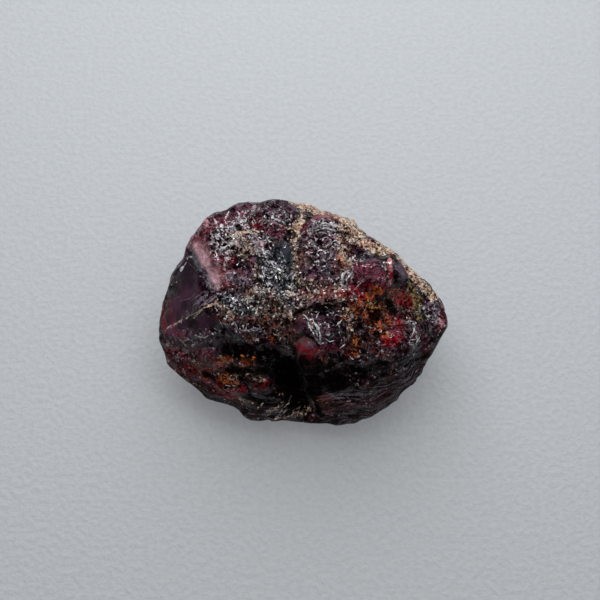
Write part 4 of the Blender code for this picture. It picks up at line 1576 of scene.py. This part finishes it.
        # short bright dashes, painted as glints of light
        few = nodes.larger(nodes.times(self.glint, 0.18), nodes.times(self.mica, 0.18))
        few = nodes.larger(few, nodes.times(self.crust, 0.2))
        few = nodes.plus(few, nodes.times(self.stray, 0.14))
        few = nodes.plus(few, nodes.times(self.warm, 0.03))
        chosen = nodes.step(nodes.plus(self.dashes["Tone"], few), 0.98, 1.02)
        chosen = nodes.times(chosen, nodes.without(self.dashes["Line"]), self.broken)
        dash_glint_colour = nodes.mix(self.warm, glint_colour, srgb(184, 156, 150))
        colour = nodes.mix(chosen, colour, nodes.mix(self.crust, dash_glint_colour, srgb(250, 234, 212)))

        # faint pale streaks along the splinters' edges, painted as glints of light
        streaks = nodes.times(self.splinters["Line"], nodes.step(self.noise(1.3, 3.0), 0.48, 0.62))
        pale = nodes.plus(nodes.times(self.glint, 0.5), nodes.step(self.warm, 0.0, 1.0, 0.14, 0.03))
        return nodes.mix(nodes.times(streaks, pale, self.broken), colour, colours.lilac)

    def painted_shade(self, colour):
        """Painted shade: the recesses between the chips darkened towards black, and dead black painted into
        the hollows.
        """
        nodes = self.nodes
        colour = nodes.mix(nodes.times(self.recess, 0.7), colour, self.colours.black)
        return nodes.mix(nodes.times(self.shade, 0.93), colour, srgb(5, 2, 3))

    def roughness(self):
        nodes = self.nodes
        rough = nodes.step(self.fine["Tone"], 0.0, 1.0, 0.2, 0.5)
        rough = nodes.blend_value(self.dusty, rough, 0.6)
        rough = nodes.blend_value(nodes.times(self.smooth, 0.9), rough, 0.2)
        return nodes.blend_value(nodes.times(self.shade, 0.9), rough, 0.7)

    def height(self):
        """The fine relief, in mm."""
        nodes = self.nodes
        height = nodes.plus(nodes.plus(self.fine["Height"], self.grit["Height"]), self.middle["Height"])
        height = nodes.plus(height, nodes.times(self.noise(2.6, 3.0), 0.22))
        height = nodes.plus(height, self.dashes["Height"])
        leaning = nodes.times(self.splinters["Height"], nodes.step(self.glint, 0.0, 1.0, 0.3, 1.0))
        height = nodes.times(nodes.plus(height, leaning), self.broken)
        for raised in (self.flakes, self.rusty, self.mossy, self.crumbs, self.creamy, self.lit):
            height = nodes.plus(height, raised["Height"])
        return nodes.plus(height, nodes.times(self.laminae["Height"], self.layers))

    def wet_gloss(self):
        """How wet the skin looks: most on the splinters, little on the layers, none on dust and on the
        painted shade of the hollows.
        """
        nodes = self.nodes
        wet = nodes.plus(nodes.times(self.glint, 0.6), nodes.step(self.middle["Spark"], 0.3, 1.0, 0.05, 0.6))
        wet = nodes.times(wet, nodes.without(nodes.times(self.layers, 0.6)))
        wet = nodes.times(wet, nodes.without(nodes.larger(self.dusty, self.shade)))
        return nodes.blend_value(self.glass, nodes.blend_value(self.smooth, wet, 0.5), 0.08)

    def build(self):
        colour = self.ground()
        for coat in (self.chips, self.edges, self.grains, self.lights, self.painted_shade):
            colour = coat(colour)
        normal = self.nodes.bump(self.height())
        connect(self.nodes, self.surface, colour, self.roughness(), normal, self.wet_gloss())
        return self.material


def piece_material(name, shades, rough, coat, grain, tint=None):
    """The finish of a small piece: three colours along its tone, its own fine grain, and a tint in places."""
    material, nodes, surface, place = new_material(
        name, {"IOR": 1.45, "Specular IOR Level": 0.1, "Coat Roughness": 0.08}
    )
    tone = nodes.mask("tone")
    speckle = nodes.noise(place, 1 / grain, detail=3.0)["Fac"]
    dark, middle, pale = shades
    colour = nodes.mix(nodes.step(tone, 0.0, 0.5), dark, middle)
    colour = nodes.mix(nodes.step(tone, 0.5, 1.0), colour, pale)
    if tint is not None:
        broad = nodes.noise(place, 0.9, detail=3.0)["Fac"]
        colour = nodes.mix(nodes.step(broad, 0.45, 0.65, 0.0, 0.7), colour, tint)
    colour = nodes.scaled(colour, nodes.step(speckle, 0.35, 0.65, 0.55, 1.1))
    roughness = nodes.step(speckle, 0.3, 0.7, rough * 0.7, min(1.0, rough * 1.3))
    normal = nodes.bump(nodes.times(speckle, grain * 0.4))
    connect(nodes, surface, colour, roughness, normal, nodes.step(speckle, 0.3, 0.7, coat * 0.5, coat))
    return material


def floor_material(stage):
    """Plain pale paint with a faint grain."""
    material, nodes, surface, place = new_material("pale_floor", {})
    grain = nodes.noise(place, 1.5, detail=4.0)["Fac"]
    pale = tuple(stage.floor_colour)
    dull = tuple(channel * 0.93 for channel in pale)
    colour = nodes.mix(nodes.step(grain, 0.3, 0.7), dull, pale)
    normal = nodes.bump(nodes.times(grain, 0.5), strength=0.42)
    connect(nodes, surface, colour, nodes.step(grain, 0.3, 0.7, 0.75, 0.9), normal)
    return material


# ---------------------------------------------------------------- operators


# The carved skin and its surface, kept by the first operator for those that set pieces into it.
KEPT = {}


class GARNET_OT_crystal(bpy.types.Operator):
    """Carves the crystal's skin, paints its minerals and gives it its material"""

    bl_idname = "garnet.crystal"
    bl_label = "Carve crystal"

    def execute(self, context):
        skin = crystal_skin(context)
        KEPT["skin"] = skin
        KEPT["surface"] = Surface(context.scene.garnet_stage, skin.points, skin.faces)
        mesh = skin.mesh.copy()
        mesh.name = "crystal_skin"
        write_masks(mesh, skin.masks)
        mesh.transform(Matrix.Scale(MM, 4))
        mesh.shade_smooth()
        mesh.materials.clear()
        mesh.materials.append(GarnetFinish(context.scene.garnet_colours).build())
        crystal = bpy.data.objects.new("crystal_skin", mesh)
        context.scene.collection.objects.link(crystal)
        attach(crystal, "root")
        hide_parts(NODE)
        return {"FINISHED"}


# The chance that a point of the skin carries a short splinter, where its mask is full.
LILAC_CHANCE, CREAM_CHANCE = 0.0055, 0.005


class GARNET_OT_splinters(bpy.types.Operator):
    """Sets the splinters and rims into the skin; the lilac and near-white ones are painted highlights for the
    light they catch
    """

    bl_idname = "garnet.splinters"
    bl_label = "Set splinters"

    def execute(self, context):
        colours = context.scene.garnet_colours
        skin, surface = KEPT["skin"], KEPT["surface"]
        finishes = {
            "lilac": (srgb(146, 124, 138), srgb(238, 230, 235), srgb(252, 250, 252)),
            # near-white splinters painted as wet glints of light
            "painted_gleam": (srgb(214, 210, 216), srgb(238, 238, 240), srgb(252, 252, 252)),
            "cream": (srgb(150, 116, 100), srgb(226, 204, 188), srgb(244, 230, 216)),
            "veil": (srgb(84, 74, 88), srgb(124, 114, 128), srgb(156, 146, 158)),
            "salmon": (srgb(128, 50, 52), srgb(176, 92, 92), srgb(212, 142, 140)),
            "rust": (tuple(colours.rust), srgb(150, 70, 60), srgb(176, 96, 84)),
        }
        for finish, shades in finishes.items():
            pieces = Pieces()
            for number, stroke in enumerate(STROKES):
                if stroke.finish != finish:
                    continue
                if finish in BROKEN_FINISHES:
                    lay_stroke(pieces, surface, stroke)
                else:
                    tone = 0.45 + 0.5 * (number % 5) / 4
                    spots = path_spots(surface, stroke.path)
                    add_splinter(pieces, spots, BLADE_WIDENING * stroke.width, tone)
            if finish == "lilac":
                chance = LILAC_CHANCE * skin.masks["glint"] * (1 - skin.masks["smooth"])
                lay_splinters(pieces, skin, surface, chance, 300, length=0.5, width=0.2)
            if finish == "cream":
                chance = CREAM_CHANCE * skin.masks["crust"]
                lay_splinters(pieces, skin, surface, chance, 320, length=0.45, width=0.12)
            material = piece_material(finish + "_splinter", shades, rough=0.3, coat=0.6, grain=0.25)
            pieces.build(context, finish + "_splinters", material)
        return {"FINISHED"}


# How fine the small grains' own surface is and how wide their clusters are, in mm.
GRAIN_OF_GRAINS = 0.12
CLUSTER_SIZE = 2.2
# How much more crowded the grains are in a cluster than their chance says.
CLUSTER_CROWDING = 1.6


class GARNET_OT_grains(bpy.types.Operator):
    """Beds the crust's crumbs, the mica's beads and the iron stain's grains in the skin"""

    bl_idname = "garnet.grains"
    bl_label = "Bed grains"

    def execute(self, context):
        colours = context.scene.garnet_colours
        masks = KEPT["skin"].masks
        crumbly = piece_material(
            "crust_grains_finish", (srgb(142, 108, 94), tuple(colours.tan), srgb(246, 232, 214)),
            rough=0.65, coat=0.1, grain=GRAIN_OF_GRAINS, tint=srgb(164, 100, 76),
        )
        beady = piece_material(
            "mica_beads_finish", (srgb(20, 22, 26), srgb(46, 50, 56), tuple(colours.silver)),
            rough=0.2, coat=0.9, grain=GRAIN_OF_GRAINS,
        )
        rusty = piece_material(
            "ochre_grains_finish", (srgb(110, 30, 14), tuple(colours.ochre), srgb(230, 160, 76)),
            rough=0.35, coat=0.5, grain=GRAIN_OF_GRAINS,
        )
        mossy = piece_material(
            "olive_grains_finish", (srgb(58, 50, 26), tuple(colours.olive), srgb(176, 156, 92)),
            rough=0.3, coat=0.5, grain=GRAIN_OF_GRAINS,
        )
        self.bed(context, "crust_grains", crumbly, 0.09 * masks["crust"] ** 2, 400,
                 size=0.16, flatness=0.55, sunk=0.3)
        self.bed(context, "mica_beads", beady, 0.035 * masks["mica"] ** 2, 430,
                 size=0.18, flatness=0.7, sunk=0.25)
        self.bed(context, "ochre_grains", rusty, 0.03 * masks["iron"] ** 2, 460,
                 size=0.15, flatness=0.8, sunk=0.3)
        self.bed(context, "olive_grains", mossy, 0.04 * masks["olive"] ** 2, 490,
                 size=0.18, flatness=0.8, sunk=0.3)
        return {"FINISHED"}

    def bed(self, context, name, material, chance, salt, size, flatness, sunk):
        """Lays one kind of grain, in clusters, with the chance that each point of the skin has."""
        pieces = Pieces()
        clusters = smooth_step(-0.45, 0.45, rough_noise(KEPT["skin"].points, CLUSTER_SIZE, 2, salt + 20))
        lay_grains(pieces, KEPT["skin"], chance * clusters * CLUSTER_CROWDING, salt, size, flatness, sunk)
        pieces.build(context, name, material)


class GARNET_OT_stage(bpy.types.Operator):
    """Lays the floor, hangs the lights and sets up the camera"""

    bl_idname = "garnet.stage"
    bl_label = "Set stage"

    def execute(self, context):
        stage = context.scene.garnet_stage
        lay_floor(context, stage)
        hang_lights(context, stage)
        set_camera(context, stage)
        return {"FINISHED"}


# The floor is a disc, in metres.
FLOOR_RADIUS = 1.5
FLOOR_SEGMENTS = 96


def lay_floor(context, stage):
    shape = bmesh.new()
    bmesh.ops.create_circle(shape, cap_ends=True, segments=FLOOR_SEGMENTS, radius=FLOOR_RADIUS)
    mesh = bpy.data.meshes.new("floor")
    shape.to_mesh(mesh)
    shape.free()
    mesh.materials.append(floor_material(stage))
    floor = bpy.data.objects.new("floor", mesh)
    context.scene.collection.objects.link(floor)


# A light: where it hangs (azimuth and elevation in degrees, distance in m), its width and height, its share.
Softbox = namedtuple("Softbox", "name azimuth elevation distance width height share colour")
PALE_LIGHT = (0.97, 0.985, 1.0)
WARM_LIGHT = (1.0, 0.99, 0.97)
ROOM_COLOUR = (0.94, 0.97, 1.0)
PANES = (
    Softbox("pane_right", 62, 62, 0.26, 0.020, 0.012, 1.0, PALE_LIGHT),
    Softbox("pane_middle", 84, 54, 0.26, 0.020, 0.012, 1.0, PALE_LIGHT),
    Softbox("pane_left", 112, 60, 0.26, 0.020, 0.012, 1.0, PALE_LIGHT),
    Softbox("pane_high", 140, 74, 0.26, 0.020, 0.012, 1.0, PALE_LIGHT),
)
SHEENS = (
    Softbox("sheen_back", 80, 62, 0.30, 0.10, 0.07, 1.0, PALE_LIGHT),
    Softbox("sheen_front", -70, 70, 0.30, 0.06, 0.05, 0.5, PALE_LIGHT),
)
SOFTBOXES = (
    Softbox("overhead", 88, 60, 0.15, 0.18, 0.18, 1.27, PALE_LIGHT),
    Softbox("left_fill", 200, 58, 0.50, 0.30, 0.30, 0.16, WARM_LIGHT),
    Softbox("right_fill", -20, 58, 0.50, 0.30, 0.30, 0.34, WARM_LIGHT),
)


def hang_lights(context, stage):
    """A window's panes and sheen, that only show as glints, soft boxes that light, and a dim room."""
    lights = [(pane, stage.window_radiance) for pane in PANES]
    lights += [(sheen, stage.sheen_radiance) for sheen in SHEENS]
    lights += [(softbox, stage.fill_radiance) for softbox in SOFTBOXES]
    for softbox, radiance in lights:
        lamp = bpy.data.lights.new(softbox.name, "AREA")
        lamp.use_shadow = softbox in SOFTBOXES
        lamp.shape = "RECTANGLE"
        lamp.size, lamp.size_y = softbox.width, softbox.height
        lamp.energy = radiance * softbox.share * math.pi * softbox.width * softbox.height
        lamp.color = softbox.colour
        around, up = math.radians(softbox.azimuth), math.radians(softbox.elevation)
        toward = Vector((math.cos(around) * math.cos(up), math.sin(around) * math.cos(up), math.sin(up)))
        light = bpy.data.objects.new(softbox.name, lamp)
        light.visible_glossy = softbox not in SOFTBOXES
        light.visible_diffuse = softbox not in SHEENS
        light.location = toward * softbox.distance
        light.rotation_mode = "QUATERNION"
        light.rotation_quaternion = toward.to_track_quat("Z", "Y")
        context.scene.collection.objects.link(light)
    world = bpy.data.worlds.new("room")
    context.scene.world = world
    world.use_nodes = True
    background = world.node_tree.nodes["Background"]
    background.inputs["Color"].default_value = (*ROOM_COLOUR, 1.0)
    background.inputs["Strength"].default_value = stage.room_light
    world.cycles_visibility.glossy = False
    context.scene.view_settings.view_transform = "Standard"


# The camera's sensor in mm, and the nearest thing that it shows in metres.
SENSOR_WIDTH = 36.0
CLIP_START = 0.005


def set_camera(context, stage):
    lens = bpy.data.cameras.new("camera")
    lens.sensor_width = SENSOR_WIDTH
    lens.angle = stage.field
    lens.clip_start = CLIP_START
    camera = bpy.data.objects.new("camera", lens)
    place, aim = camera_place(stage)
    camera.location = place
    camera.rotation_mode = "QUATERNION"
    camera.rotation_quaternion = (place - aim).to_track_quat("Z", "Y")
    context.scene.collection.objects.link(camera)
    context.scene.camera = camera


class GARNET_PT_panel(bpy.types.Panel):
    """Lists the crystal's pieces and settings"""

    bl_idname = "GARNET_PT_panel"
    bl_label = "Rough garnet"
    bl_space_type = "VIEW_3D"
    bl_region_type = "UI"
    bl_category = "Garnet"

    def draw(self, context):
        for operator in OPERATORS:
            self.layout.operator(operator.bl_idname)
        for name in SETTINGS:
            settings = getattr(context.scene, name)
            box = self.layout.box()
            for key in settings.bl_rna.properties.keys():
                if key not in ("rna_type", "name"):
                    box.prop(settings, key)


OPERATORS = (GARNET_OT_crystal, GARNET_OT_splinters, GARNET_OT_grains, GARNET_OT_stage)
SETTINGS = {
    "garnet_carving": GarnetCarving,
    "garnet_colours": GarnetColours,
    "garnet_stage": GarnetStage,
}


def register():
    for group in SETTINGS.values():
        bpy.utils.register_class(group)
    for name, group in SETTINGS.items():
        setattr(bpy.types.Scene, name, PointerProperty(type=group))
    for operator in OPERATORS:
        bpy.utils.register_class(operator)
    bpy.utils.register_class(GARNET_PT_panel)


def unregister():
    bpy.utils.unregister_class(GARNET_PT_panel)
    for operator in reversed(OPERATORS):
        bpy.utils.unregister_class(operator)
    for name in SETTINGS:
        delattr(bpy.types.Scene, name)
    for group in SETTINGS.values():
        bpy.utils.unregister_class(group)


def build_groups():
    build_facets_group()
    build_splinters_group()
    build_patch_group()
    build_curls_group()
    build_crumbs_group()
    build_laminae_group()


def main():
    register()
    build_groups()
    bpy.ops.garnet.crystal()
    bpy.ops.garnet.splinters()
    bpy.ops.garnet.grains()
    bpy.ops.garnet.stage()


if __name__ == "__main__":
    main()
